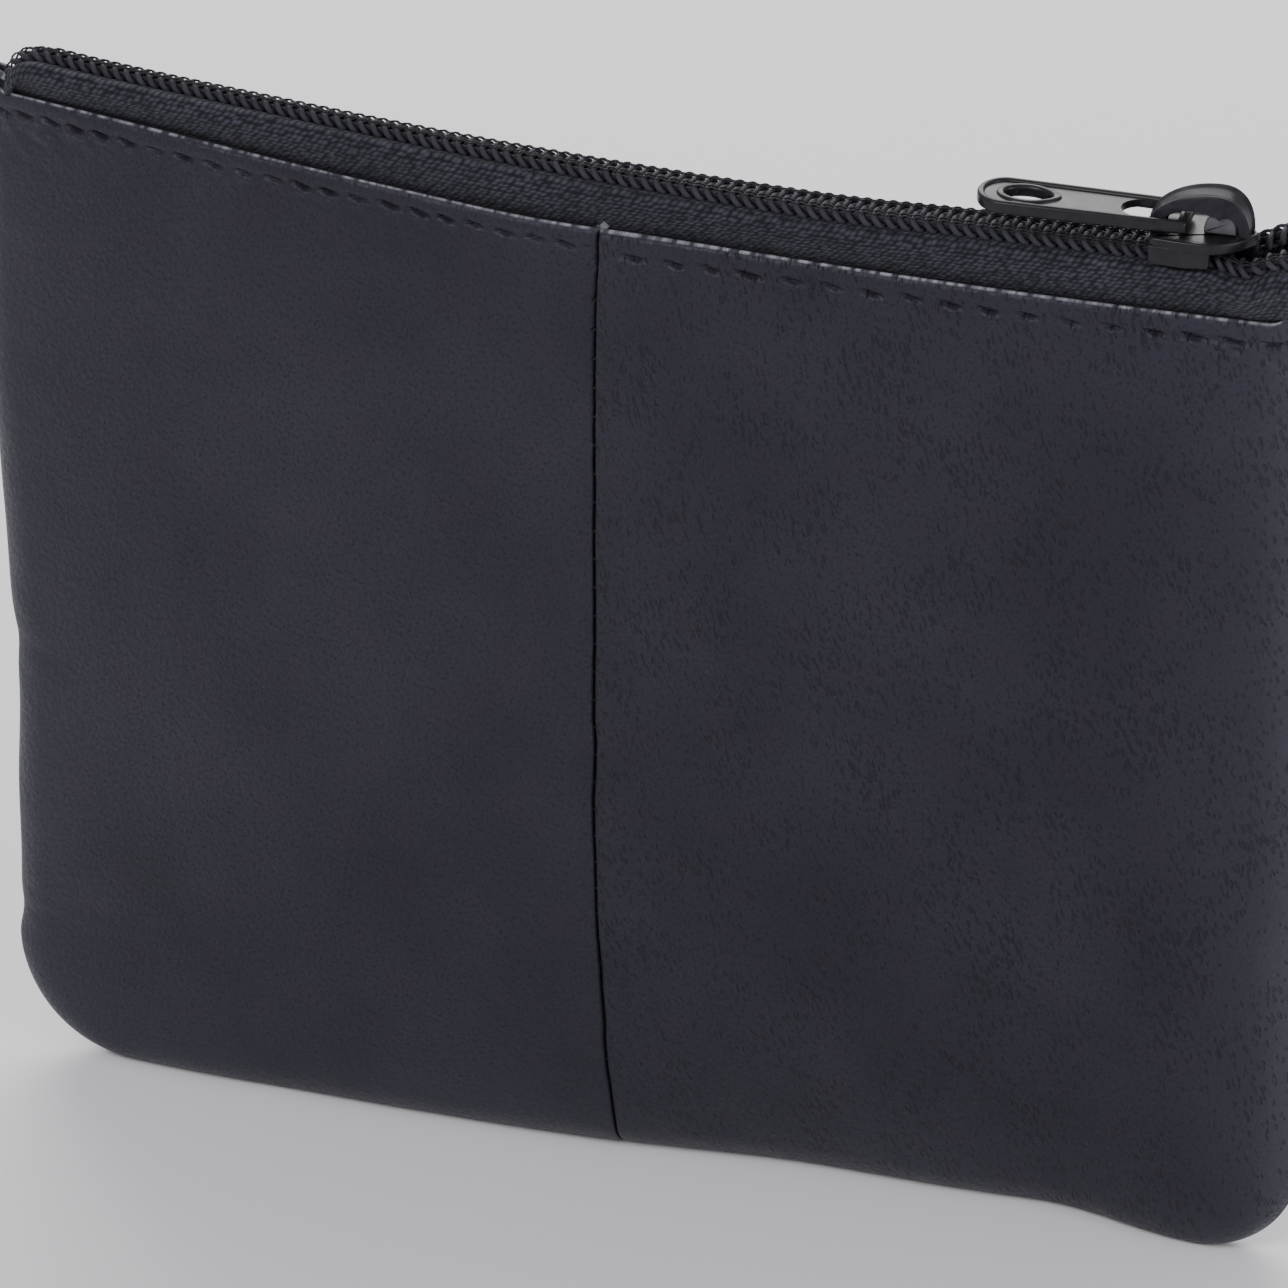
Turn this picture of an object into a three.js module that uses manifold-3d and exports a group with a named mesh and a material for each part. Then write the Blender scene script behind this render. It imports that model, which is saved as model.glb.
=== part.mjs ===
// A soft leather coin purse: two leather walls, each sewn from two halves, closed along the
// top by a nylon coil zip with an auto-lock slider. Millimetres, +Z up. The purse stands on
// its bottom seam, its front faces -Y, and the origin is under the middle of its box.
import * as THREE from "three";
import { mergeVertices } from "three/addons/utils/BufferGeometryUtils.js";
import Module from "manifold-3d";

const wasm = await Module();
wasm.setup();

// ---------------------------------------------------------------- driving dimensions
const TOP_HALF_WIDTH = 62; // side seam from the middle, near the mouth
const WAIST_HALF_WIDTH = { left: 58.7, right: 61.2 }; // and lower down, where the belly pulls it in
const WALL_HEIGHT = 93.5; // bottom seam to the folded edge of the leather, at the sides
const TOP_CROWN = 1.2; // the folded edge stands this much higher in the middle
const CORNER_RADIUS = { left: 12, right: 8 };
const LEATHER = 0.9; // thickness of the leather
const HEM_DEPTH = 8; // the top edge is folded in this far
const HEM_EXTRA = 0.5; // and is this much thicker there
const FLAP_WIDTH = 4.5; // seam allowance on each side of the centre seam
const FLAP_EXTRA = 0.7;
const SEAM_ALLOWANCE = 4; // width of the turned-in edge along the sides and bottom
const SEAM_GAP = 0.3; // between leather edges that are sewn together
const LINING = 0.4;
const CLEARANCE = 0.3; // between layers that lie on each other

const BOW_TOP = 4.9; // the whole purse bows forward by this much in the middle, at the mouth
const BOW_BOTTOM = 2.8;
const TWIST = 5.4; // the bottom seam's right end lies this far back, and its left end forward
const EDGE_HALF_THICKNESS = 2.6; // half the thickness just inside the side seams
const MOUTH_SWELL = 1.4; // added in the middle of the mouth
const BELLY_SWELL = 4.5; // added in the middle of the belly
const BELLY_HEIGHT = 0.4; // where the belly is fullest, as a share of the wall's height
const EDGE_ROLL = 3.2; // how quickly the wall curves over to its seam

const TOOTH_PITCH = 1.16; // of a number 3 nylon coil
const TOOTH_WIDTH = 0.42;
const COIL_HALF_WIDTH = 2.1; // the closed chain is 4.2 wide
const COIL_THICKNESS = 1.9;
const COIL_SPINE = 0.55; // the part of a coil that is sewn to its tape
const TOOTH_REACH = 0.45; // past the middle of the chain
const CHAIN_Z = 99.5; // middle of the chain
const CHAIN_LEFT = -59.4;
const CHAIN_RIGHT = 61.6;
const TAPE = 0.35;
const TAPE_DEPTH = 6; // how far the tape reaches down behind the hem
const TAPE_PARTING = 0.65; // half the gap between the tapes, which the slider's neck runs in
const TAPE_SHOULDER = 2.75; // half the width over the two tapes where they turn down
const TAPE_HALF_LENGTH = 61;
const TAPE_FOOT_HALF_LENGTH = 57.2; // and where it is tucked in behind the hem

const SLIDER_AT = 52.7; // distance along the chain from its middle, with the zip closed
const MIDDLE_FORWARD = 1.98; // the middle of the purse's box, in front of its side seams
const THREAD = 0.45;
const STITCH_DROP = 2.7; // top stitching below the folded edge

// ---------------------------------------------------------------- shape of the walls
const bowRadius = (TOP_HALF_WIDTH ** 2 + BOW_TOP ** 2) / (2 * BOW_TOP);
const clamp01 = (v) => Math.min(1, Math.max(0, v));
const smooth = (v) => clamp01(v) ** 2 * (3 - 2 * clamp01(v));
const round = (v) => Math.sqrt(1 - (1 - clamp01(v)) ** 2); // quarter of a circle

// How far the chain's arc lies in front of its ends.
const arcAt = (x) => Math.sqrt(bowRadius ** 2 - x ** 2) - (bowRadius - BOW_TOP);
const twistAt = (x, z) => ((TWIST * x) / TOP_HALF_WIDTH) * (1 - clamp01(z / WALL_HEIGHT)) ** 1.2;
const bowAt = (x, z) =>
  (arcAt(x) / BOW_TOP) * (BOW_BOTTOM + (BOW_TOP - BOW_BOTTOM) * clamp01(z / WALL_HEIGHT)) -
  twistAt(x, z);

// The walls are drawn with a level top, and raised to their crown afterwards.
const crownAt = (x, z) =>
  TOP_CROWN * (1 - clamp01(Math.abs(x) / TOP_HALF_WIDTH) ** 2) * smooth((z / WALL_HEIGHT - 0.4) / 0.6);

function edgeAt(side, z) {
  const radius = side < 0 ? CORNER_RADIUS.left : CORNER_RADIUS.right;
  const waist = side < 0 ? WAIST_HALF_WIDTH.left : WAIST_HALF_WIDTH.right;
  const straight = waist + (TOP_HALF_WIDTH - waist) * smooth((z - 30) / 50);
  return straight - radius * (1 - round(z / radius));
}

// Half the purse's thickness over its outer faces, before the walls curve over to their seam.
function fullness(side, x, z) {
  const across = 1 - clamp01(Math.abs(x) / edgeAt(side, Math.max(z, 12))) ** 2;
  const height = z / WALL_HEIGHT;
  const reach = height > BELLY_HEIGHT ? 1 - BELLY_HEIGHT : BELLY_HEIGHT;
  const belly = 1 - Math.abs((height - BELLY_HEIGHT) / reach) ** 2.2;
  const mouth = smooth((height - 0.6) / 0.4);
  return EDGE_HALF_THICKNESS + across * (MOUTH_SWELL * mouth + BELLY_SWELL * clamp01(belly));
}

// ---------------------------------------------------------------- solids from grids
// outer and inner are grids of [x, y, z] with equal rows and columns. The solid between them
// is closed along its four sides. flip turns its faces round.
function slab(outer, inner, flip) {
  const rows = outer.length;
  const columns = outer[0].length;
  const at = (grid, r, c) => (grid * rows + r) * columns + c;
  const positions = [...outer.flat(), ...inner.flat()].flat();
  const index = [];
  const quad = (a, b, c, d) => index.push(...(flip ? [a, c, b, a, d, c] : [a, b, c, a, c, d]));
  for (let r = 0; r + 1 < rows; r++)
    for (let c = 0; c + 1 < columns; c++) {
      quad(at(0, r, c), at(0, r, c + 1), at(0, r + 1, c + 1), at(0, r + 1, c));
      quad(at(1, r, c), at(1, r + 1, c), at(1, r + 1, c + 1), at(1, r, c + 1));
    }
  for (let c = 0; c + 1 < columns; c++) {
    quad(at(0, 0, c), at(1, 0, c), at(1, 0, c + 1), at(0, 0, c + 1));
    quad(at(0, rows - 1, c), at(0, rows - 1, c + 1), at(1, rows - 1, c + 1), at(1, rows - 1, c));
  }
  for (let r = 0; r + 1 < rows; r++) {
    quad(at(0, r, 0), at(0, r + 1, 0), at(1, r + 1, 0), at(1, r, 0));
    quad(at(0, r, columns - 1), at(1, r, columns - 1), at(1, r + 1, columns - 1), at(0, r + 1, columns - 1));
  }
  const geometry = new THREE.BufferGeometry();
  geometry.setAttribute("position", new THREE.Float32BufferAttribute(positions, 3));
  geometry.setIndex(index);
  return geometry;
}

function solid(geometry) {
  const bare = geometry.clone();
  bare.deleteAttribute("normal");
  bare.deleteAttribute("uv");
  const merged = mergeVertices(bare, 1e-4);
  return new wasm.Manifold(
    new wasm.Mesh({
      numProp: 3,
      vertProperties: new Float32Array(merged.attributes.position.array),
      triVerts: new Uint32Array(merged.index.array),
    }),
  );
}

function geometryOf(manifold) {
  const { vertProperties, triVerts } = manifold.getMesh();
  const geometry = new THREE.BufferGeometry();
  geometry.setAttribute("position", new THREE.BufferAttribute(vertProperties, 3));
  geometry.setIndex(new THREE.BufferAttribute(triVerts, 1));
  return geometry;
}

const join = (...geometries) =>
  geometryOf(geometries.map(solid).reduce((whole, piece) => whole.add(piece)));

const steps = (from, to, count) =>
  Array.from({ length: count + 1 }, (_, i) => from + ((to - from) * i) / count);

// ---------------------------------------------------------------- leather and lining
// One face of a wall half, as a grid from the middle to the side seam and from the bottom
// up. inset is how far its outline lies inside the purse's own, and under(x, z) how deep the
// face lies beneath the outer one. face is -1 for the front wall and 1 for the back.
function faceGrid({ side, face, inset, under, roll, rows, columns, middle }) {
  const lift = 0.18; // the curve starts this far round, so that the seam has a flat edge
  const point = (share, z, flat) => {
    const edge = edgeAt(side, z) - inset;
    const x = middle + (edge - middle) * share;
    const near = Math.min(edge - x, z - inset) + lift * roll;
    const depth = (fullness(side, x, z) - under(x, z)) * round(near / (roll * (1 + lift)));
    const half = flat ? SEAM_GAP / 2 : Math.max(depth, SEAM_GAP / 2 + 0.1);
    return [side * x, -bowAt(side * x, z) + face * half, z + crownAt(x, z)];
  };
  const line = (z, flat) => [...columns.map((share) => point(share, z, flat)), point(1, z, true)];
  return [line(rows[0], true), ...rows.map((z) => line(z, false))];
}

const LEATHER_ROWS = [0, 1, 2.5, 5, 9, 15, 25, 36, 48, 60, 72, 82];
const LEATHER_COLUMNS = [0, 0.03, 0.15, 0.3, 0.45, 0.6, 0.72, 0.83, 0.91, 0.96, 0.985, 1];
const hemFoot = WALL_HEIGHT - HEM_DEPTH;

function leatherHalf(side, face) {
  const middle = SEAM_GAP / 2;
  const flapEdge = FLAP_WIDTH / TOP_HALF_WIDTH;
  const columns = [0, flapEdge, flapEdge + 0.01, ...LEATHER_COLUMNS.slice(2)];
  const above = [hemFoot, hemFoot + 0.1, WALL_HEIGHT];
  const rows = [...LEATHER_ROWS, ...above];
  const innerRows = rows.map((z) => Math.max(z, SEAM_ALLOWANCE + z * 0.2));
  const layers = (x, z) =>
    LEATHER + Math.max(z > hemFoot ? HEM_EXTRA : 0, x < FLAP_WIDTH + 0.1 ? FLAP_EXTRA : 0);
  const share = { side, face, columns, middle };
  const outer = faceGrid({ ...share, inset: 0, under: () => 0, roll: EDGE_ROLL, rows });
  const inner = faceGrid({
    ...share,
    inset: SEAM_ALLOWANCE,
    under: layers,
    roll: 1.5,
    rows: innerRows,
  });
  return slab(outer, inner, side * face > 0);
}

// The lining is one piece from side to side, so its two halves are joined.
function liningWall(face) {
  const rows = [0, 1.5, 4, 10, 20, 32, 45, 58, 70, hemFoot - 5].map((z) => z + SEAM_ALLOWANCE + 0.4);
  const columns = [0, 0.09, 0.15, 0.27, 0.42, 0.6, 0.78, 0.9, 0.96, 1];
  const flap = (x) => LEATHER + CLEARANCE + FLAP_EXTRA * (1 - smooth((x - FLAP_WIDTH - 0.6) / 3));
  const sheet = (inset, extra) =>
    [-1, 1].map((side) =>
      faceGrid({
        side,
        face,
        inset,
        under: (x) => flap(x) + extra,
        roll: 1.5,
        rows: rows.map((z) => z + (inset - SEAM_ALLOWANCE - 0.4)),
        columns,
        middle: 0,
      }),
    );
  const [outerLeft, outerRight] = sheet(SEAM_ALLOWANCE + 0.4, 0);
  const [innerLeft, innerRight] = sheet(SEAM_ALLOWANCE + 0.4 + LINING, LINING);
  const level = (left, right) =>
    left.map((row, r) => [...row.slice(1).reverse(), ...right[r]]);
  return slab(level(outerLeft, outerRight), level(innerLeft, innerRight), face > 0);
}

// ---------------------------------------------------------------- zip
// A point at a distance along the chain and an offset across it, positive to the back.
function alongChain(distance, across) {
  const turn = distance / bowRadius;
  const radius = bowRadius - across;
  return [radius * Math.sin(turn), bowRadius - BOW_TOP - radius * Math.cos(turn)];
}

// The teeth part round the slider's wedge and run on to the two sides of the seam.
const PART_FROM = SLIDER_AT + 0.7;
const partedAt = (distance) => {
  const past = Math.max(0, distance - PART_FROM);
  return 0.95 * smooth(past / 2.4) + 0.09 * past;
};

function coil(face) {
  const outline = [];
  const spine = COIL_HALF_WIDTH - COIL_SPINE;
  const first = CHAIN_LEFT + (face < 0 ? 0 : TOOTH_PITCH / 2);
  const count = Math.floor((CHAIN_RIGHT - TOOTH_PITCH - first) / TOOTH_PITCH);
  const place = (distance, across) =>
    outline.push(new THREE.Vector2(...alongChain(distance, face * (across + partedAt(distance)))));
  for (let tooth = 0; tooth <= count; tooth++) {
    const at = first + tooth * TOOTH_PITCH;
    place(at, spine);
    place(at, -TOOTH_REACH);
    place(at + TOOTH_WIDTH, -TOOTH_REACH);
    place(at + TOOTH_WIDTH, spine);
  }
  for (const distance of steps(CHAIN_RIGHT, CHAIN_LEFT - 0.5, 36)) place(distance, COIL_HALF_WIDTH);
  const geometry = new THREE.ExtrudeGeometry(new THREE.Shape(outline), {
    depth: COIL_THICKNESS,
    bevelEnabled: false,
  });
  return geometry.translate(0, 0, CHAIN_Z - COIL_THICKNESS / 2);
}

// The tape runs flat under its coil, over a shoulder, and down behind the hem.
const tapeTop = CHAIN_Z - COIL_THICKNESS / 2 - 0.15;
function tape(face) {
  const ends = [TAPE_FOOT_HALF_LENGTH + 0.2, TAPE_HALF_LENGTH];
  const distances = [
    ...ends.map((end) => -end).reverse(),
    ...steps(-TAPE_FOOT_HALF_LENGTH, TAPE_FOOT_HALF_LENGTH, 28),
    ...ends,
  ];
  const behindHem = (x) =>
    Math.max(fullness(1, Math.abs(x), WALL_HEIGHT) - LEATHER - HEM_EXTRA - CLEARANCE, 0.75);
  const profile = (distance, thick) => {
    const low = behindHem(distance) - thick;
    const parted = partedAt(distance);
    const edge = WALL_HEIGHT + crownAt(distance, WALL_HEIGHT);
    const tucked = Math.abs(distance) <= TAPE_FOOT_HALF_LENGTH;
    return [
      [TAPE_PARTING + parted, tapeTop - thick],
      [TAPE_SHOULDER - 0.35, tapeTop - thick],
      [TAPE_SHOULDER - thick * 0.7, tapeTop - 0.4 - thick * 0.7],
      [TAPE_SHOULDER - 0.15 - thick, tapeTop - 1.75],
      [low, edge + 0.35],
      [low, tucked ? edge - TAPE_DEPTH : edge + 0.2],
    ];
  };
  const grid = (thick) =>
    distances.map((distance) =>
      profile(distance, thick).map(([across, z]) => {
        const [x, y] = alongChain(distance, face * across);
        return [x, y, z];
      }),
    );
  return slab(grid(0), grid(TAPE), face > 0);
}

// ---------------------------------------------------------------- slider
// In the slider's own frame: X along the chain towards the wedge, Z up from its middle.
const SLIDER = {
  tail: -4.6,
  nose: 4.6,
  halfWidth: 3.25,
  tailHalfWidth: 3.0,
  noseHalfWidth: 1.0,
  plate: 0.9,
  flange: 0.65,
  flangeEnd: 0.9,
};
const cavityTop = COIL_THICKNESS / 2 + 0.3;
const cavityFloor = tapeTop - CHAIN_Z - TAPE - 0.3;
const plateTop = cavityTop + SLIDER.plate;

const extrude = (shape, from, to, curveSegments = 6) =>
  new THREE.ExtrudeGeometry(shape, { depth: to - from, bevelEnabled: false, curveSegments }).translate(0, 0, from);

function leafShape(scale) {
  const shape = new THREE.Shape();
  const tailHalf = SLIDER.tailHalfWidth * scale;
  const full = SLIDER.halfWidth * scale;
  const noseHalf = SLIDER.noseHalfWidth * scale;
  shape.moveTo(SLIDER.tail, -tailHalf + 0.6);
  shape.quadraticCurveTo(SLIDER.tail, -tailHalf, SLIDER.tail + 0.6, -tailHalf);
  shape.lineTo(SLIDER.flangeEnd - 1, -full);
  shape.bezierCurveTo(SLIDER.flangeEnd + 1, -full, SLIDER.nose - 1.2, -noseHalf - 1.1, SLIDER.nose - 0.2, -noseHalf * 0.6);
  shape.quadraticCurveTo(SLIDER.nose, 0, SLIDER.nose - 0.2, noseHalf * 0.6);
  shape.bezierCurveTo(SLIDER.nose - 1.2, noseHalf + 1.1, SLIDER.flangeEnd + 1, full, SLIDER.flangeEnd - 1, full);
  shape.lineTo(SLIDER.tail + 0.6, tailHalf);
  shape.quadraticCurveTo(SLIDER.tail, tailHalf, SLIDER.tail, tailHalf - 0.6);
  return shape;
}

function flangeShape(side) {
  const shape = new THREE.Shape();
  const slope = (SLIDER.halfWidth - SLIDER.tailHalfWidth) / (SLIDER.flangeEnd - 1 - SLIDER.tail);
  const outAt = (x) => side * (SLIDER.tailHalfWidth + slope * (x - SLIDER.tail) - 0.02);
  const start = SLIDER.tail + 0.3;
  const inward = -side * SLIDER.flange;
  shape.moveTo(start, outAt(start));
  shape.lineTo(SLIDER.flangeEnd, outAt(SLIDER.flangeEnd - 0.9));
  shape.lineTo(SLIDER.flangeEnd, outAt(SLIDER.flangeEnd - 0.9) + inward);
  shape.lineTo(start, outAt(start) + inward);
  return shape;
}

const PAWL_HOLE = { at: 1.5, halfLength: 0.55, halfWidth: 0.5 };

function rectangle(left, right, halfWidth) {
  const shape = new THREE.Shape();
  shape.moveTo(left, -halfWidth);
  shape.lineTo(right, -halfWidth);
  shape.lineTo(right, halfWidth);
  shape.lineTo(left, halfWidth);
  return shape;
}

function sliderBody() {
  const wedge = new THREE.Shape();
  wedge.moveTo(2.3, 0);
  wedge.lineTo(3.1, -0.5);
  wedge.lineTo(SLIDER.nose - 0.3, -0.45);
  wedge.lineTo(SLIDER.nose - 0.3, 0.45);
  wedge.lineTo(3.1, 0.5);
  const top = extrude(leafShape(1), cavityTop, plateTop);
  const bottom = extrude(leafShape(0.62), cavityFloor - 0.8, cavityFloor);
  const neck = extrude(wedge, cavityFloor - 0.2, cavityTop + 0.2);
  const flanges = [-1, 1].map((side) => extrude(flangeShape(side), -0.8, cavityTop + 0.2));
  const hole = extrude(
    rectangle(PAWL_HOLE.at - PAWL_HOLE.halfLength, PAWL_HOLE.at + PAWL_HOLE.halfLength, PAWL_HOLE.halfWidth),
    cavityTop - 0.5,
    plateTop + 0.5,
  );
  return geometryOf(solid(join(top, bottom, neck, ...flanges)).subtract(solid(hole)));
}

// The bonnet is a strap that arches over the body from tail to nose.
const BONNET = { left: -3.9, right: 4.1, peakAt: 0.9, rise: 3.3, strap: 0.75, halfWidth: 1.6, gap: 0.05 };

function archShape(inset) {
  const { left, right, peakAt, rise } = BONNET;
  const base = plateTop + BONNET.gap;
  const top = base + rise - inset;
  const shape = new THREE.Shape();
  shape.moveTo(left + inset, base);
  shape.bezierCurveTo(left + inset, base + rise * 0.55, peakAt - 2.6, top, peakAt, top);
  shape.bezierCurveTo(peakAt + 1.7, top, right - inset, base + rise * 0.55, right - inset, base);
  return shape;
}

function bonnet() {
  const outer = archShape(0);
  const band = extrude(outer, -BONNET.halfWidth, BONNET.halfWidth, 10);
  const window = extrude(archShape(BONNET.strap), -BONNET.halfWidth - 1, BONNET.halfWidth + 1, 10);
  const lowered = window.translate(0, -0.01, 0);
  const strap = solid(band).subtract(solid(lowered));
  return geometryOf(strap).rotateX(Math.PI / 2);
}

// The pawl is a bent leaf inside the bonnet. Its tooth drops through the body into the chain.
function lockPawl() {
  const low = plateTop + 0.12;
  const shape = new THREE.Shape();
  shape.moveTo(PAWL_HOLE.at - 0.35, cavityTop - 0.15);
  shape.lineTo(PAWL_HOLE.at + 0.35, cavityTop - 0.15);
  shape.lineTo(PAWL_HOLE.at + 0.35, low);
  shape.lineTo(2.75, low);
  shape.lineTo(2.75, low + 0.9);
  shape.quadraticCurveTo(2.6, low + 1.5, 1.9, low + 1.6);
  shape.lineTo(0.9, low + 1.6);
  shape.quadraticCurveTo(0.5, low + 1.5, 0.5, low + 1.0);
  shape.lineTo(PAWL_HOLE.at - 0.35, low + 0.4);
  return extrude(shape, -0.38, 0.38, 4).rotateX(Math.PI / 2);
}

// ---------------------------------------------------------------- puller
// In its own frame: X points from the pivot bar to the free end, Z is its thickness.
const PULLER = { length: 18.4, halfWidth: 3.0, neckHalfWidth: 2.6, thickness: 1.2, bar: 0.95, slotHalfWidth: 1.95 };
const PULLER_TILT = THREE.MathUtils.degToRad(1.5);
const PIVOT_X = -1.7;
const PIVOT_Z = plateTop + 1.25;

function pullerShape() {
  const { length, halfWidth, neckHalfWidth, bar, slotHalfWidth } = PULLER;
  const start = -bar / 2;
  const roundFrom = length - halfWidth;
  const shape = new THREE.Shape();
  shape.moveTo(start, -neckHalfWidth + 0.4);
  shape.quadraticCurveTo(start, -neckHalfWidth, start + 0.4, -neckHalfWidth);
  shape.lineTo(roundFrom, -halfWidth);
  shape.absarc(roundFrom, 0, halfWidth, -Math.PI / 2, Math.PI / 2, false);
  shape.lineTo(start + 0.4, neckHalfWidth);
  shape.quadraticCurveTo(start, neckHalfWidth, start, neckHalfWidth - 0.4);
  const eye = new THREE.Path();
  eye.absellipse(length - 4.2, 0, 1.95, 1.6, 0, Math.PI * 2, true, 0);
  const slot = new THREE.Path();
  slot.moveTo(bar / 2, -slotHalfWidth);
  slot.lineTo(bar / 2, slotHalfWidth);
  slot.lineTo(bar / 2 + 3.2, slotHalfWidth);
  slot.quadraticCurveTo(bar / 2 + 4.9, slotHalfWidth, bar / 2 + 4.9, 0);
  slot.quadraticCurveTo(bar / 2 + 4.9, -slotHalfWidth, bar / 2 + 3.2, -slotHalfWidth);
  shape.holes.push(eye, slot);
  return shape;
}

// ---------------------------------------------------------------- threads
// A thread lies on a surface as one cord. points are its middle line.
function cord(points, diameter) {
  const sides = 6;
  const ring = new THREE.Shape();
  for (let k = 0; k < sides; k++) {
    const turn = (2 * Math.PI * k) / sides;
    const [x, y] = [(diameter / 2) * Math.cos(turn), (diameter / 2) * Math.sin(turn)];
    if (k === 0) ring.moveTo(x, y);
    else ring.lineTo(x, y);
  }
  const path = new THREE.CatmullRomCurve3(points.map((p) => new THREE.Vector3(...p)));
  return new THREE.ExtrudeGeometry(ring, { steps: points.length * 2, bevelEnabled: false, extrudePath: path });
}

// A point just off the outer face of a wall.
const onWall = (side, face, x, z, off) => [
  side * x,
  -bowAt(side * x, z) + face * (fullness(side, x, z) * round((edgeAt(side, z) - x) / EDGE_ROLL + 0.2) + off),
  z + crownAt(x, z),
];
const topStitch = (side, face) =>
  cord(
    steps(0.9, TOP_HALF_WIDTH - 4.2, 14).map((x) =>
      onWall(side, face, x, WALL_HEIGHT - STITCH_DROP, THREAD / 2 + 0.12),
    ),
    THREAD,
  );
// The centre seam's thread runs down the groove between the two halves, behind their flaps.
const centreSeamThread = (face) =>
  cord(
    steps(SEAM_ALLOWANCE + 2.5, hemFoot - 2.5, 14).map((z) => [
      0,
      -bowAt(0, z) + face * (fullness(1, 0, z) - LEATHER - FLAP_EXTRA - 0.02),
      z + crownAt(0, z),
    ]),
    0.24,
  );
// The closing seam's thread runs round the sides and bottom, between the turned-in edges.
function closingSeamThread() {
  const inset = 2.2;
  const route = [
    ...steps(80, 14, 9).map((z) => [-(edgeAt(-1, z) - inset), z]),
    ...steps(Math.PI, 1.5 * Math.PI, 4).map((turn) => [
      -(WAIST_HALF_WIDTH.left - CORNER_RADIUS.left) + (CORNER_RADIUS.left - inset) * Math.cos(turn),
      CORNER_RADIUS.left + (CORNER_RADIUS.left - inset) * Math.sin(turn),
    ]),
    ...steps(-42, 46, 9).map((x) => [x, inset]),
    ...steps(1.5 * Math.PI, 2 * Math.PI, 4).map((turn) => [
      WAIST_HALF_WIDTH.right - CORNER_RADIUS.right + (CORNER_RADIUS.right - inset) * Math.cos(turn),
      CORNER_RADIUS.right + (CORNER_RADIUS.right - inset) * Math.sin(turn),
    ]),
    ...steps(11, 80, 9).map((z) => [edgeAt(1, z) - inset, z]),
  ];
  return cord(route.map(([x, z]) => [x, -bowAt(x, z), z]), 0.2);
}

// ---------------------------------------------------------------- assembly
const leather = new THREE.MeshStandardMaterial({ color: 0x17171c, roughness: 0.55, metalness: 0 });
const liningCloth = new THREE.MeshStandardMaterial({ color: 0x1a1a1e, roughness: 0.9, metalness: 0 });
const tapeCloth = new THREE.MeshStandardMaterial({ color: 0x121316, roughness: 0.85, metalness: 0 });
const nylon = new THREE.MeshStandardMaterial({ color: 0x18191d, roughness: 0.35, metalness: 0 });
const blackMetal = new THREE.MeshStandardMaterial({ color: 0x202126, roughness: 0.3, metalness: 0.6 });
const thread = new THREE.MeshStandardMaterial({ color: 0x0b0b0d, roughness: 0.7, metalness: 0 });

const purse = new THREE.Group();
const add = (group, name, geometry, material) => {
  const mesh = new THREE.Mesh(geometry, material);
  mesh.name = name;
  group.add(mesh);
  return mesh;
};

for (const [wall, face] of [["front", -1], ["back", 1]]) {
  for (const [half, side] of [["left", -1], ["right", 1]]) {
    add(purse, `${wall}_panel_${half}`, leatherHalf(side, face), leather);
    add(purse, `${wall}_top_stitch_${half}`, topStitch(side, face), thread);
  }
  add(purse, `${wall}_centre_seam_thread`, centreSeamThread(face), thread);
  add(purse, `${wall}_lining`, liningWall(face), liningCloth);
  add(purse, `${wall}_zip_tape`, tape(face), tapeCloth);
  add(purse, `${wall}_zip_coil`, coil(face), nylon);
}
add(purse, "closing_seam_thread", closingSeamThread(), thread);

const slider = new THREE.Group();
const [sliderX, sliderY] = alongChain(SLIDER_AT, 0);
slider.position.set(sliderX, sliderY, CHAIN_Z);
slider.rotation.z = SLIDER_AT / bowRadius;
add(slider, "slider_body", sliderBody(), blackMetal);
add(slider, "slider_bonnet", bonnet(), blackMetal);
add(slider, "lock_pawl", lockPawl(), blackMetal);
const pullerMesh = add(
  slider,
  "puller",
  extrude(pullerShape(), -PULLER.thickness / 2, PULLER.thickness / 2, 8),
  blackMetal,
);
pullerMesh.position.set(PIVOT_X, 0, PIVOT_Z);
pullerMesh.rotation.set(0, PULLER_TILT, Math.PI, "ZYX");
purse.add(slider);
purse.position.y = MIDDLE_FORWARD;

export default purse;
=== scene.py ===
"""Looks of the leather coin purse: leather walls, lining, woven zip, painted slider."""
import math

import bpy
import numpy as np
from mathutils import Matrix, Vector


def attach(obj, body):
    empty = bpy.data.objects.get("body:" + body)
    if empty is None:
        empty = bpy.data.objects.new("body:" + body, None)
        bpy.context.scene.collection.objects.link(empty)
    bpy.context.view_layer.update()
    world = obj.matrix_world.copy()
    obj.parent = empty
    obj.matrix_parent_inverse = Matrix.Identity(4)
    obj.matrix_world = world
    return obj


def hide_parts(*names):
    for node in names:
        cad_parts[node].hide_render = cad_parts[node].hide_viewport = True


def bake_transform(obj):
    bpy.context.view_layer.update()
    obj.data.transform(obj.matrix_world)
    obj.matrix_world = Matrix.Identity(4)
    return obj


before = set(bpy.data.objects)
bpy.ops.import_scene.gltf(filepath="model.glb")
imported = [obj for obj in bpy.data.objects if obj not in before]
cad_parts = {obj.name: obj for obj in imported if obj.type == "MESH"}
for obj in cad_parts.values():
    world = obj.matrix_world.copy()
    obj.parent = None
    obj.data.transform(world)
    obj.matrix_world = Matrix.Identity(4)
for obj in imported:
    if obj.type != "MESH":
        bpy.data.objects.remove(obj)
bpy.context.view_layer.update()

MM = 0.001

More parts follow.
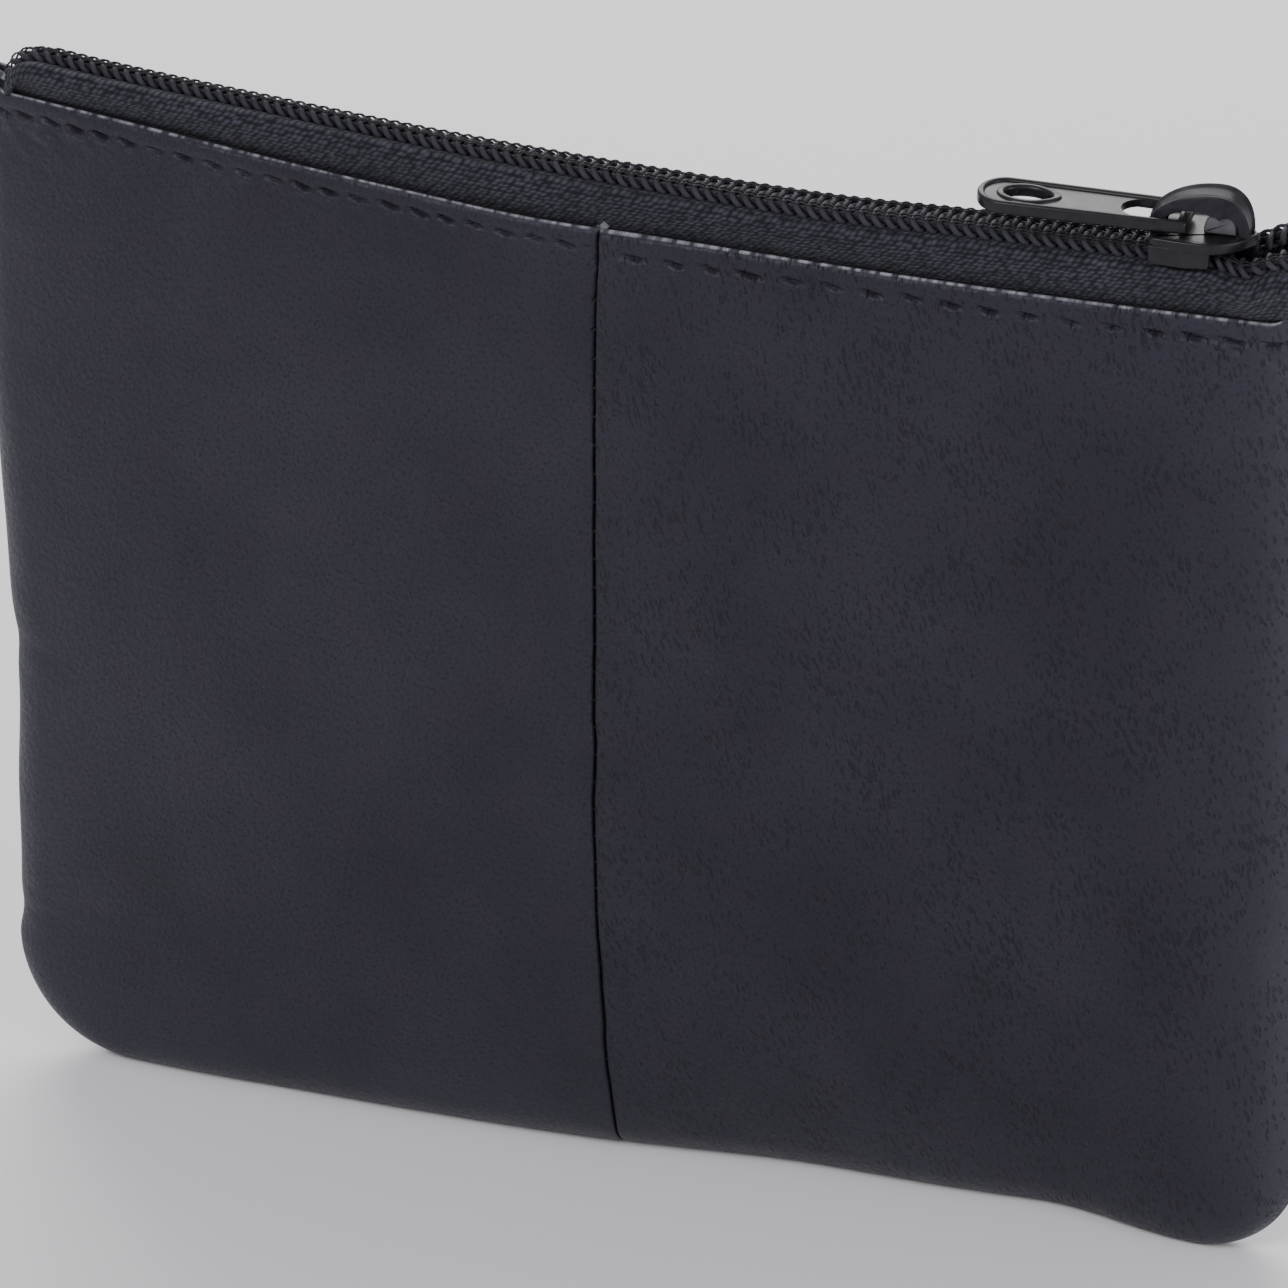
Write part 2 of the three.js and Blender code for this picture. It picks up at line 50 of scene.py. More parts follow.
# ---------------- dimensions, in millimetres
# Where the halves differ, -1 is the left half and 1 the right half. A face is -1 at the front and 1
# at the back.
TOP_HALF_WIDTH = 62.0  # side seam from the middle, near the mouth
WAIST_HALF_WIDTH = {-1: 58.7, 1: 62.5}  # and lower down
WALL_HEIGHT = 94.4  # bottom seam to the folded edge of the leather, at the sides
TOP_CROWN = 1.2  # the folded edge stands this much higher in the middle
LEFT_RISE = 1.0  # and rises by this much towards its left end
END_RISE = {-1: 1.2, 1: 2.4}  # and by this much in its last three millimetres
CORNER_RADIUS = {-1: 12.0, 1: 8.0}  # of the lower corners
BOW_TOP = 4.9  # the whole purse bows forward by this much in the middle, at the mouth
BOW_BOTTOM = 2.8  # and at the bottom
TWIST = 5.4  # the bottom seam's right end lies this far back, and its left end forward
CORNER_FORWARD = 4.3  # the lower right corner bends this far forward again
FOOT_BACK = 1.3  # and the bottom seam lies this much further back right of the middle
MIDDLE_FORWARD = 1.98  # y of the side seams at the mouth
EDGE_HALF_THICKNESS = 2.6  # half the thickness just inside the side seams
MOUTH_SWELL = 1.4  # how much that grows towards the middle of the mouth
BELLY_SWELL = 4.5  # and towards the middle of the belly
BELLY_HEIGHT = 0.4  # share of the wall's height
EDGE_ROLL = 3.4  # the walls curve in to their seams over this distance
LEATHER = 0.42  # thickness of the leather
LINING = 0.25
TAPE = 0.34
HEM_RADIUS = 0.48  # of the folded edge
HEM_DEPTH = 8.0  # how far the folded leather reaches down inside
SEAM_HALF_GAP = 0.15  # between the walls at their seams
STITCH_DROP = {-1: 1.75, 1: 1.95}  # top stitching below the folded edge
STITCH_PITCH = {-1: 2.85, 1: 3.5}
SEAM_STITCH_PITCH = 2.75  # of the centre seam
CHAIN_Z = 99.5  # middle of the coils
TOOTH_PITCH = 1.16  # of a number 3 nylon coil
SLIDER_AT = 52.7  # along the chain from the middle
CHAIN_LOW, CHAIN_HIGH = -64.0, 64.6  # the coils' ends, along the chain
CHAIN_ENDS = (-55.2, 61.0)  # where the chain starts to curl down into the side seams
CURL_RADIUS = (3.4, 2.2)
CHAIN_LEAN = math.radians(25)  # towards its left end the chain's flat side leans back
RADIUS = (TOP_HALF_WIDTH**2 + BOW_TOP**2) / (2 * BOW_TOP)  # of the chain's arc, seen from above

# Folds that run in from the front's left side seam: height, reach, slope, depth.
SIDE_FOLDS = (
    (41.5, 7, 0.12, 0.3),
    (38.0, 4, -0.1, 0.2),
    (44.5, 3.5, 0.2, 0.16),
    (14.6, 11, 0.05, 0.3),
    (11.0, 8, -0.22, 0.22),
    (17.5, 4, 0.25, 0.18),
)


def clamp(v, low=0.0, high=1.0):
    return np.minimum(np.maximum(v, low), high)


def smooth(v):
    v = clamp(v)
    return v * v * (3 - 2 * v)


def quarter(v):
    """Rises from 0 to 1 along a quarter of a circle."""
    return np.sqrt(1 - (1 - clamp(v)) ** 2)


def bell(v, width):
    return np.exp(-((v / width) ** 2))


def noise(a, b, seed):
    """Smooth random value from -1 to 1 at (a, b), one lattice cell to the unit."""
    table = np.random.RandomState(seed).uniform(-1, 1, (64, 64))
    a, b = np.asarray(a, float), np.asarray(b, float)
    i, j = np.floor(a).astype(int), np.floor(b).astype(int)
    u, v = smooth(a - i), smooth(b - j)

    def at(di, dj):
        return table[(i + di) % 64, (j + dj) % 64]

    low = at(0, 0) * (1 - u) + at(1, 0) * u
    high = at(0, 1) * (1 - u) + at(1, 1) * u
    return low * (1 - v) + high * v


# ---------------- the shape of the walls
def arc_at(x):
    """How far the chain's arc lies in front of its ends."""
    return np.sqrt(RADIUS**2 - x**2) - (RADIUS - BOW_TOP)


def bow_at(x, z):
    """How far forward the middle between the walls lies. x is signed."""
    height = clamp(z / WALL_HEIGHT)
    twist = TWIST * x / TOP_HALF_WIDTH * (1 - height) ** 1.2
    twist = twist - CORNER_FORWARD * smooth((x - 38) / 18) * (1 - height) ** 3
    twist = twist + FOOT_BACK * bell(x - 15, 15) * (1 - height) ** 3
    return arc_at(x) / BOW_TOP * (BOW_BOTTOM + (BOW_TOP - BOW_BOTTOM) * height) - twist


def crown_at(x, z):
    """How far the mouth's edge stands above a level line. x is signed."""
    left_end = LEFT_RISE * smooth((-10 - x) / 42) - 0.3 * bell(x + 6, 8)
    ends = np.where(x < 0, END_RISE[-1], END_RISE[1]) * clamp((np.abs(x) - 58.9) / 3.1) ** 2
    ends = ends * smooth((z / WALL_HEIGHT - 0.95) / 0.05)
    across = TOP_CROWN * (1 - clamp(np.abs(x) / TOP_HALF_WIDTH) ** 2)
    return (across + left_end) * smooth((z / WALL_HEIGHT - 0.4) / 0.6) + ends


def straight_edge(side, z):
    """The side seam's distance from the middle, as if the lower corner were square."""
    waist = WAIST_HALF_WIDTH[side]
    edge = waist + (TOP_HALF_WIDTH - waist) * smooth((z - 30) / 50)
    wobble = 0.22 * noise(z / 9.0, 3.7 + side, 11) * smooth((86 - z) / 12)
    pinch = 0.35 * (bell(z - 41, 2.2) + bell(z - 13.5, 1.8)) if side < 0 else 0.3 * bell(z - 30, 5)
    return edge + wobble - pinch


def edge_at(side, z):
    radius = CORNER_RADIUS[side]
    return straight_edge(side, z) - radius * (1 - quarter(z / radius))


def fullness(side, x, z):
    """Half the purse's thickness, without its creases."""
    across = 1 - clamp(np.abs(x) / edge_at(side, np.maximum(z, 12))) ** 2
    height = z / WALL_HEIGHT
    reach = np.where(height > BELLY_HEIGHT, 1 - BELLY_HEIGHT, BELLY_HEIGHT)
    belly = 1 - np.abs((height - BELLY_HEIGHT) / reach) ** 2.2
    mouth = smooth((height - 0.6) / 0.4)
    return EDGE_HALF_THICKNESS + across * (MOUTH_SWELL * mouth + BELLY_SWELL * clamp(belly))


def near_outline(side, x, z):
    """Distance in from the purse's outline along its sides, rounded corner and bottom."""
    radius = CORNER_RADIUS[side]
    edge = straight_edge(side, z)
    dx, dz = x - (edge - radius), radius - z
    corner = radius - np.hypot(np.maximum(dx, 0), np.maximum(dz, 0))
    return np.where((dx > 0) & (dz > 0), corner, np.minimum(edge - x, z))


def beside_middle(side, face, x, z, half):
    """Points that lie half a thickness off the middle between the walls."""
    y = MIDDLE_FORWARD - bow_at(side * x, z) + face * half
    return np.stack([side * x, y, z + crown_at(side * x, z)], -1)


def half_label(face, side, kind):
    return f"{'front' if face < 0 else 'back'}_{kind}_{'left' if side < 0 else 'right'}"


# ---------------- meshes
def add_object(name, data):
    made = bpy.data.objects.new(name, data)
    bpy.context.scene.collection.objects.link(made)
    return made


def mesh_piece(name, points, faces, material, uv=None):
    """Points and uv are in millimetres."""
    mesh = bpy.data.meshes.new(name)
    mesh.from_pydata((np.asarray(points) * MM).tolist(), [], faces)
    mesh.polygons.foreach_set("use_smooth", [True] * len(mesh.polygons))
    if uv is not None:
        layer = mesh.uv_layers.new(name="UVMap")
        index = np.zeros(len(mesh.loops), int)
        mesh.loops.foreach_get("vertex_index", index)
        layer.data.foreach_set("uv", (np.asarray(uv) * 0.1)[index].astype(np.float32).ravel())
    mesh.materials.append(material)
    return add_object(name, mesh)


def grid_faces(rows, columns, flip):
    r, c = np.meshgrid(np.arange(rows - 1), np.arange(columns - 1), indexing="ij")
    a = (r * columns + c).ravel()
    quads = np.stack([a, a + 1, a + columns + 1, a + columns], 1)
    return (quads[:, ::-1] if flip else quads).tolist()


def ring_faces(rings, sides, start=0, clockwise=False):
    """Faces of a closed form whose vertices come ring by ring, with a cap at each end."""
    faces = []
    for i in range(rings - 1):
        for k in range(sides):
            a, b = start + i * sides + k, start + i * sides + (k + 1) % sides
            faces.append([a, a + sides, b + sides, b] if clockwise else [a, b, b + sides, a + sides])
    first = [start + k for k in range(sides)]
    last = [start + (rings - 1) * sides + k for k in range(sides)]
    return faces + ([first, last[::-1]] if clockwise else [first[::-1], last])


def tube(points, radius, sides, start=0):
    """Vertices, faces and uv of a round tube along points. radius may change along it."""
    points = np.asarray(points, float)
    count = len(points)
    radii = np.broadcast_to(np.asarray(radius, float), count)
    tangents = np.gradient(points, axis=0)
    tangents /= np.linalg.norm(tangents, axis=1)[:, None]
    normal = np.cross(tangents[0], (0.31, 0.87, 0.38))
    normals = np.zeros_like(points)
    for i, tangent in enumerate(tangents):
        normal = normal - tangent * normal.dot(tangent)
        normal = normal / np.linalg.norm(normal)
        normals[i] = normal
    others = np.cross(tangents, normals)
    turn = np.linspace(0, 2 * math.pi, sides, endpoint=False)
    ring = normals[:, None] * np.cos(turn)[None, :, None]
    ring = ring + others[:, None] * np.sin(turn)[None, :, None]
    vertices = (points[:, None] + ring * radii[:, None, None]).reshape(-1, 3)
    along = np.r_[0, np.cumsum(np.linalg.norm(np.diff(points, axis=0), axis=1))]
    uv = np.stack([np.repeat(along, sides), np.tile(turn * radii.mean(), count)], 1)
    return vertices, ring_faces(count, sides, start), uv


def tubes_piece(name, lines, material, sides=8):
    """One piece of several tubes. lines holds (points, radius) pairs."""
    vertices, faces, uv = [], [], []
    start = 0
    for points, radius in lines:
        v, f, t = tube(points, radius, sides, start)
        vertices.append(v)
        faces += f
        uv.append(t)
        start += len(v)
    return mesh_piece(name, np.concatenate(vertices), faces, material, np.concatenate(uv))


def add_modifier(piece, kind, **values):
    modifier = piece.modifiers.new(kind.title(), kind)
    for key, value in values.items():
        setattr(modifier, key, value)
    return piece


def evaluated_mesh(holder):
    graph = bpy.context.evaluated_depsgraph_get()
    graph.update()
    return bpy.data.meshes.new_from_object(holder.evaluated_get(graph))


def apply_modifiers(piece):
    mesh = evaluated_mesh(piece)
    piece.modifiers.clear()
    piece.data = mesh
    return piece


# ---------------- materials
def material_tree(name):
    material = bpy.data.materials.new(name)
    material.use_nodes = True
    tree = material.node_tree
    return material, tree, tree.nodes["Principled BSDF"]


def node(tree, kind, inputs=None, **settings):
    made = tree.nodes.new("ShaderNode" + kind)
    for key, value in settings.items():
        setattr(made, key, value)
    for key, value in (inputs or {}).items():
        socket = made.inputs[key]
        if isinstance(value, bpy.types.NodeSocket):
            tree.links.new(value, socket)
        else:
            socket.default_value = value
    return made


def math_node(tree, operation, a, b=0.0):
    return node(tree, "Math", {0: a, 1: b}, operation=operation).outputs[0]


def ramp(tree, value, low, high, to_low=0.0, to_high=1.0):
    return node(
        tree,
        "MapRange",
        {"Value": value, "From Min": low, "From Max": high, "To Min": to_low, "To Max": to_high},
    ).outputs[0]


def colour_mix(tree, factor, a, b):
    mixed = node(tree, "Mix", {"Factor": factor}, data_type="RGBA")
    for socket, value in ((mixed.inputs[6], a), (mixed.inputs[7], b)):
        if isinstance(value, bpy.types.NodeSocket):
            tree.links.new(value, socket)
        else:
            socket.default_value = (*value, 1)
    return mixed.outputs[2]


def place(tree, scale, turn=0.0):
    """Surface coordinates, a unit to the centimetre, turned and then stretched."""
    uv = node(tree, "TexCoord").outputs["UV"]
    turned = node(tree, "Mapping", {"Vector": uv, "Rotation": (0, 0, turn)})
    return node(tree, "Mapping", {"Vector": turned.outputs[0], "Scale": scale}).outputs[0]


def noise_texture(tree, scale, detail, turn=0.0):
    """Cloudy noise from 0 to 1. scale is in cells to the centimetre."""
    vector = place(tree, scale, turn)
    return node(tree, "TexNoise", {"Vector": vector, "Scale": 1.0, "Detail": detail}).outputs[0]


def stack_bumps(tree, shader, bumps):
    """bumps holds (height, height in millimetres, share of it)."""
    normal = None
    for height, size, strength in bumps:
        inputs = {"Height": height, "Distance": size * MM, "Strength": strength}
        if normal is not None:
            inputs["Normal"] = normal
        normal = node(tree, "Bump", inputs).outputs[0]
    tree.links.new(normal, shader.inputs["Normal"])


def leather_material(name, dash_size, dash_turn, dash_reach, dash_depth):
    """Grained leather with short creases: their spacing across and along in millimetres, how far
    they turn, how large a share of their spacing they reach, and their depth in millimetres."""
    material, tree, shader = material_tree(name)
    broad = noise_texture(tree, (0.55, 0.5, 1), 3.0)
    patches = noise_texture(tree, (1.5, 1.1, 1), 4.0, 0.4)
    hue = ramp(tree, noise_texture(tree, (1.9, 2.4, 1), 2.0, 0.9), 0.38, 0.62)
    # Pebbles of the grain, about half a millimetre across.
    warp = node(tree, "TexNoise", {"Vector": place(tree, (9, 9, 1)), "Scale": 1.0, "Detail": 2.0})
    cells = place(tree, (19, 15, 1), 0.3)
    shifted = node(tree, "VectorMath", {0: cells, 1: warp.outputs["Color"]}, operation="ADD").outputs[0]
    pebbles = node(
        tree, "TexVoronoi", {"Vector": shifted, "Scale": 1.0, "Smoothness": 0.5}, feature="SMOOTH_F1"
    ).outputs[0]
    pores = noise_texture(tree, (34, 27, 1), 3.0, 0.3)
    # Short dark creases that run down the skin, thick in some patches and missing in others.
    spread = place(tree, (10 / dash_size[0], 10 / dash_size[1], 1), dash_turn)
    bent = node(tree, "TexNoise", {"Vector": spread, "Scale": 0.7, "Detail": 1.0}).outputs["Color"]
    spread = node(tree, "VectorMath", {0: spread, 1: bent}, operation="ADD").outputs[0]
    distance = node(tree, "TexVoronoi", {"Vector": spread, "Scale": 1.0}).outputs["Distance"]
    reach = ramp(tree, patches, 0.34, 0.6, 0.35 * dash_reach, dash_reach)
    dashes = ramp(tree, math_node(tree, "SUBTRACT", reach, distance), 0.0, 0.14)
    flat_dashes = math_node(tree, "SUBTRACT", 1.0, dashes)
    stack_bumps(tree, shader, [(pebbles, 0.12, 0.55), (pores, 0.07, 0.7), (flat_dashes, dash_depth, 0.9)])
    dark = colour_mix(tree, hue, (0.0118, 0.0118, 0.0186), (0.0136, 0.0121, 0.0192))
    pale = colour_mix(tree, hue, (0.0174, 0.0174, 0.0264), (0.0196, 0.0178, 0.027))
    tone = colour_mix(tree, ramp(tree, broad, 0.35, 0.65), dark, pale)
    # The pores are painted darker: painted shade in them.
    painted_pore_shade = math_node(tree, "MULTIPLY", ramp(tree, pores, 0.5, 0.68), 0.7)
    tone = colour_mix(tree, painted_pore_shade, tone, (0.005, 0.005, 0.0075))
    # The creases are painted darker: painted shade in them.
    tone = colour_mix(tree, math_node(tree, "MULTIPLY", dashes, 0.5), tone, (0.0035, 0.0035, 0.006))
    # The purse's outline is painted a little paler: a painted highlight along its rounded seam edges.
    edge = node(tree, "Attribute", attribute_name="edge").outputs["Fac"]
    tone = colour_mix(tree, math_node(tree, "MULTIPLY", edge, 0.6), tone, (0.04, 0.039, 0.051))
    # The folded edge is polished to a gloss, and carries a painted highlight: a paler colour broken into
    # short lengths.
    crest_gloss_and_highlight = node(tree, "Attribute", attribute_name="crest_gloss_and_highlight").outputs["Fac"]
    highlight_and_gloss_breaks = noise_texture(tree, (11, 2, 1), 2.0)
    gloss_and_painted_highlight = math_node(tree, "MULTIPLY", crest_gloss_and_highlight, ramp(tree, highlight_and_gloss_breaks, 0.42, 0.58, 0.12, 1.0))
    # Painted highlight along the crest of the folded edge.
    tone = colour_mix(tree, gloss_and_painted_highlight, tone, (0.3, 0.295, 0.335))
    tree.links.new(tone, shader.inputs["Base Color"])
    rough = ramp(tree, patches, 0.3, 0.7, 0.46, 0.56)
    rough = math_node(tree, "ADD", rough, ramp(tree, pores, 0.35, 0.7, -0.07, 0.09))
    rough = math_node(tree, "SUBTRACT", rough, math_node(tree, "MULTIPLY", gloss_and_painted_highlight, 0.24))
    tree.links.new(rough, shader.inputs["Roughness"])
    shader.inputs["Specular IOR Level"].default_value = 0.27
    shader.inputs["Specular Tint"].default_value = (0.9, 0.88, 1, 1)
    shader.inputs["Sheen Weight"].default_value = 0.02
    shader.inputs["Sheen Roughness"].default_value = 0.45
    return material


def woven_material(name, cell, base, high, lift, gloss=0.8):
    """Cloth of short offset threads. cell is one thread's length and width in millimetres."""
    material, tree, shader = material_tree(name)
    uv = node(tree, "SeparateXYZ", {0: node(tree, "TexCoord").outputs["UV"]})
    across = math_node(tree, "MULTIPLY", uv.outputs[0], 10 / cell[0])
    down = math_node(tree, "MULTIPLY", uv.outputs[1], 10 / cell[1])
    # Each row is shifted by half a thread.
    across = math_node(tree, "ADD", across, math_node(tree, "MULTIPLY", down, 0.5))
    lattice = node(tree, "CombineXYZ", {0: across, 1: down})
    loops = node(tree, "TexVoronoi", {"Vector": lattice.outputs[0], "Scale": 1.0, "Randomness": 0.42})
    height = math_node(tree, "SUBTRACT", 1.0, loops.outputs["Distance"])
    fibres = noise_texture(tree, (40, 110, 1), 3.0, 0.5)
    wear = ramp(tree, noise_texture(tree, (1.2, 2.5, 1), 4.0), 0.3, 0.7, 0.65, 1.0)
    stack_bumps(tree, shader, [(height, lift, 0.9), (fibres, 0.05, 0.6)])
    # Thread tops are painted paler and the gaps between threads darker: painted highlight and shade, varied
    # by wear.
    painted_thread_shade = math_node(tree, "MULTIPLY", ramp(tree, height, 0.38, 0.95), wear)
    tone = colour_mix(tree, painted_thread_shade, base, high)
    tree.links.new(tone, shader.inputs["Base Color"])
    tree.links.new(ramp(tree, fibres, 0.3, 0.7, gloss - 0.12, gloss + 0.05), shader.inputs["Roughness"])
    shader.inputs["Specular IOR Level"].default_value = 0.3
    shader.inputs["Specular Tint"].default_value = (0.86, 0.88, 1, 1)
    shader.inputs["Sheen Weight"].default_value = 0.05
    shader.inputs["Sheen Roughness"].default_value = 0.4
    return material


PLIES_PER_MM = 2.4  # of the sewing thread


def thread_material(name, base, high):
    """Twisted sewing thread: fine slanting plies."""
    material, tree, shader = material_tree(name)
    uv = node(tree, "SeparateXYZ", {0: node(tree, "TexCoord").outputs["UV"]})
    along = math_node(tree, "MULTIPLY", uv.outputs[0], 10 * PLIES_PER_MM * 2 * math.pi)
    phase = math_node(tree, "ADD", along, math_node(tree, "MULTIPLY", uv.outputs[1], 260.0))
    plies = math_node(tree, "SINE", phase)
    fuzz = noise_texture(tree, (160, 160, 1), 2.0)
    stack_bumps(tree, shader, [(plies, 0.03, 0.8), (fuzz, 0.03, 0.6)])
    # The plies' crests are painted paler and their grooves darker: painted shade along the twist.
    tone = colour_mix(tree, ramp(tree, plies, -1.0, 1.0), base, high)
    tree.links.new(tone, shader.inputs["Base Color"])
    tree.links.new(ramp(tree, fuzz, 0.3, 0.7, 0.6, 0.8), shader.inputs["Roughness"])
    shader.inputs["Specular IOR Level"].default_value = 0.2
    return material


def nylon_material():
    """Black monofilament, drawn lengthwise."""
    material, tree, shader = material_tree("zip_nylon")
    streak = noise_texture(tree, (6, 90, 1), 2.0)
    wear = noise_texture(tree, (2, 2, 1), 3.0)
    stack_bumps(tree, shader, [(streak, 0.012, 0.6)])
    tone = colour_mix(tree, ramp(tree, wear, 0.3, 0.7), (0.025, 0.0245, 0.032), (0.042, 0.041, 0.052))
    tree.links.new(tone, shader.inputs["Base Color"])
    tree.links.new(ramp(tree, wear, 0.3, 0.7, 0.5, 0.6), shader.inputs["Roughness"])
    shader.inputs["Specular IOR Level"].default_value = 0.09
    return material


def painted_material(name, low, high, shine=0.2):
    """Black paint over cast zinc, a little uneven, with fine handling marks."""
    material, tree, shader = material_tree(name)
    position = node(tree, "TexCoord").outputs["Object"]
    peel = node(tree, "TexNoise", {"Vector": position, "Scale": 1400.0, "Detail": 2.0}).outputs[0]
    marks = node(
        tree, "TexNoise", {"Vector": position, "Scale": 500.0, "Detail": 6.0, "Distortion": 1.5}
    ).outputs[0]
    stack_bumps(tree, shader, [(peel, 0.02, 0.35), (marks, 0.01, 0.3)])
    tone = colour_mix(tree, ramp(tree, marks, 0.35, 0.7), low, high)
    tree.links.new(tone, shader.inputs["Base Color"])
    tree.links.new(ramp(tree, marks, 0.3, 0.75, 0.34, 0.46), shader.inputs["Roughness"])
    shader.inputs["Specular IOR Level"].default_value = shine
    shader.inputs["Coat Weight"].default_value = 0.6 * shine
    shader.inputs["Coat Roughness"].default_value = 0.14
    return material


LEATHER_MATERIAL = {
    -1: leather_material("leather_left", (0.5, 0.95), 0.45, 0.2, 0.07),
    1: leather_material("leather_right", (0.38, 1.35), -0.24, 0.42, 0.2),
}
LINING_MATERIAL = woven_material(
    "lining_cloth", (0.42, 0.42), (0.006, 0.006, 0.007), (0.022, 0.022, 0.025), lift=0.05, gloss=0.72
)
TAPE_MATERIAL = woven_material(
    "zip_tape", (0.6, 0.36), (0.004, 0.004, 0.006), (0.064, 0.063, 0.084), lift=0.4
)
THREAD_MATERIAL = thread_material("sewing_thread", (0.004, 0.004, 0.005), (0.012, 0.0115, 0.015))
COIL_THREAD_MATERIAL = thread_material("coil_thread", (0.012, 0.0115, 0.015), (0.03, 0.029, 0.036))
NYLON_MATERIAL = nylon_material()
PAINT_MATERIAL = painted_material("painted_zinc", (0.008, 0.0075, 0.01), (0.015, 0.0145, 0.018))
BRIDGE_MATERIAL = painted_material("dull_zinc", (0.016, 0.015, 0.019), (0.03, 0.029, 0.036), shine=0.05)
LOCK_MATERIAL = painted_material("rubbed_zinc", (0.07, 0.07, 0.08), (0.11, 0.11, 0.12))


def finish_piece(piece, nodes=(), body=None):
    """Ties a piece to what it moves with. Without a body its transform is baked into its mesh."""
    if nodes:
        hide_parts(*nodes)
    if body:
        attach(piece, body)
    else:
        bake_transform(piece)
    return piece


def tie(piece, nodes, face):
    """The front's pieces are tied to no body, and the back's stay with the purse."""
    if face < 0:
        return finish_piece(piece, nodes)
    return finish_piece(piece, nodes, body="purse")


# ---------------- leather walls
def relief(side, face, x, z):
    """How far the leather stands out from its smooth shape, in millimetres."""
    drop, stitch_drop, pitch = WALL_HEIGHT - z, STITCH_DROP[side], STITCH_PITCH[side]
    seed = 20 + side * 2 + face
    along = side * x
    end = smooth((x - 46) / 12)
    out = 0.26 * noise(along / 21 + 5, z / 17 + 9, seed)
    out += 0.1 * noise(along / 8, z / 10, seed + 1)
    out += 0.13 * np.sin(math.pi * clamp(drop / stitch_drop)) * (drop < stitch_drop)
    # The stitch line: a thin crease, with a slanting pit at each needle hole and a pucker below.
    line = drop - stitch_drop - 0.1 * noise(along / 2.3, 4, seed + 2)
    line = line - 0.12 * noise(along / 9, 8, seed + 2)
    beat = along / pitch + 0.12 * noise(along / 6, 2, seed + 3)
    hole = pitch * (beat - np.round(beat))
    deep = 1 + 0.5 * noise(np.round(beat) * 0.73, 3, seed + 3)
    slant, rise = hole * 0.97 + line * 0.24, line * 0.97 - hole * 0.24
    under_flap = smooth((x - 0.7) / 0.5)
    out -= 0.05 * bell(line, 0.24) * under_flap
    out -= 0.85 * deep * bell(slant, 0.72) * bell(rise, 0.17) * under_flap
    out += 0.2 * deep * bell(hole - 0.4, 0.55) * bell(line - 0.52, 0.24) * under_flap
    fading = np.exp(-clamp(drop - stitch_drop, 0, 40) / (1.0 + 1.6 * end))
    below = smooth((drop - stitch_drop) / 0.5) * fading
    out += below * (0.035 + 0.05 * end) * np.cos(2 * math.pi * (beat + 0.1 * drop) + 0.6)
    out += below * (0.1 + 0.42 * end) * noise(along / 1.1, z / 0.75 + along / 3, seed + 4)
    out -= 0.05 * smooth((drop - HEM_DEPTH + 0.6) / 1.6) * smooth(x / 3)
    # The centre seam's stitches pull at the edge beside them.
    prick = clamp(np.cos(2 * math.pi * z / SEAM_STITCH_PITCH + noise(z / 5, 1, seed))) ** 4 * (drop > 3)
    out -= (0.2 if side < 0 else 0.1) * bell(x - 0.55, 0.4) * prick
    out += (0.06 if side < 0 else 0.03) * bell(x - 1.25, 0.5) * prick
    inset = near_outline(side, x, z)
    rim = clamp(1 - inset / 9) * smooth(inset / 1.5)
    out += 0.1 * rim * noise(z / 2.3 + side * x / 6, inset / 5, seed + 5)
    if side < 0 and face < 0:
        for height, reach, slope, depth in SIDE_FOLDS:
            fold = z - height + slope * (60 - x) + 0.5 * noise(x / 4, height, seed + 6)
            out -= depth * bell(fold, 0.55) * smooth(1 - (59.5 - x) / reach) * smooth(inset / 0.8)
        long_fold = z - 15.6 - 0.03 * (x - 30) - 0.6 * noise(x / 7, 2, seed + 7)
        out -= 0.09 * bell(long_fold, 0.5) * smooth((x - 18) / 14)
    if side > 0 and face < 0:
        lean = x * 0.86 + z * 0.5
        out += 0.05 * noise(lean / 1.5, z / 6, seed + 8) * smooth((x - 12) / 16) * smooth((70 - z) / 25)
        out += 0.16 * bell(x - 56, 3) * noise(z / 6, 5, seed + 9)
    return out


def wall_columns(face):
    """(distance from the middle, share of the way to the edge, depth, distance turned in)."""
    radius, start = 0.42, 0.09  # of the groove along the centre seam
    columns = [(start, 0, 1.9, 0), (start, 0, 1.1, 0)]
    for turn in np.linspace(0, math.pi / 2, 7):
        columns.append((start + radius * (1 - math.cos(turn)), 0, radius * (1 - math.sin(turn)), 0))
    body = np.r_[np.linspace(0, 0.045, 12)[1:], np.linspace(0.045, 0.93, 184 if face < 0 else 120)[1:]]
    near = (1 - np.linspace(0, 1, 22)[1:]) ** 2 * 0.07
    for share in np.r_[body, 1 - near]:
        columns.append((start + radius, share, 0, 0))
    columns += [(start + radius, 1, 99, 0.02), (start + radius, 1, 99, 1.5), (start + radius, 1, 99, 3.2)]
    return np.array(columns)


def wall_rows():
    """(height, depth, height turned in at the bottom, share of the fold's own crease)."""
    rows = [(0, 99, 3.2, 0), (0, 99, 1.5, 0), (0, 99, 0.02, 0)]
    rows += [(z, 0, 0, 0) for z in 12 * np.linspace(0, 1, 34) ** 1.8]
    rows += [(z, 0, 0, 0) for z in np.linspace(12, WALL_HEIGHT - 6.5, 112)[1:]]
    rows += [(z, 0, 0, 0) for z in np.linspace(WALL_HEIGHT - 6.5, WALL_HEIGHT - HEM_RADIUS, 46)[1:]]
    for turn in np.linspace(0, math.pi, 15)[1:]:
        height = WALL_HEIGHT - HEM_RADIUS * (1 - math.sin(turn))
        rows.append((height, HEM_RADIUS * (1 - math.cos(turn)), 0, bell(turn - 1.75, 0.3)))
    rows += [(WALL_HEIGHT - drop, 2 * HEM_RADIUS, 0, 0) for drop in (1.5, 3, 5, HEM_DEPTH)]
    return np.array(rows)


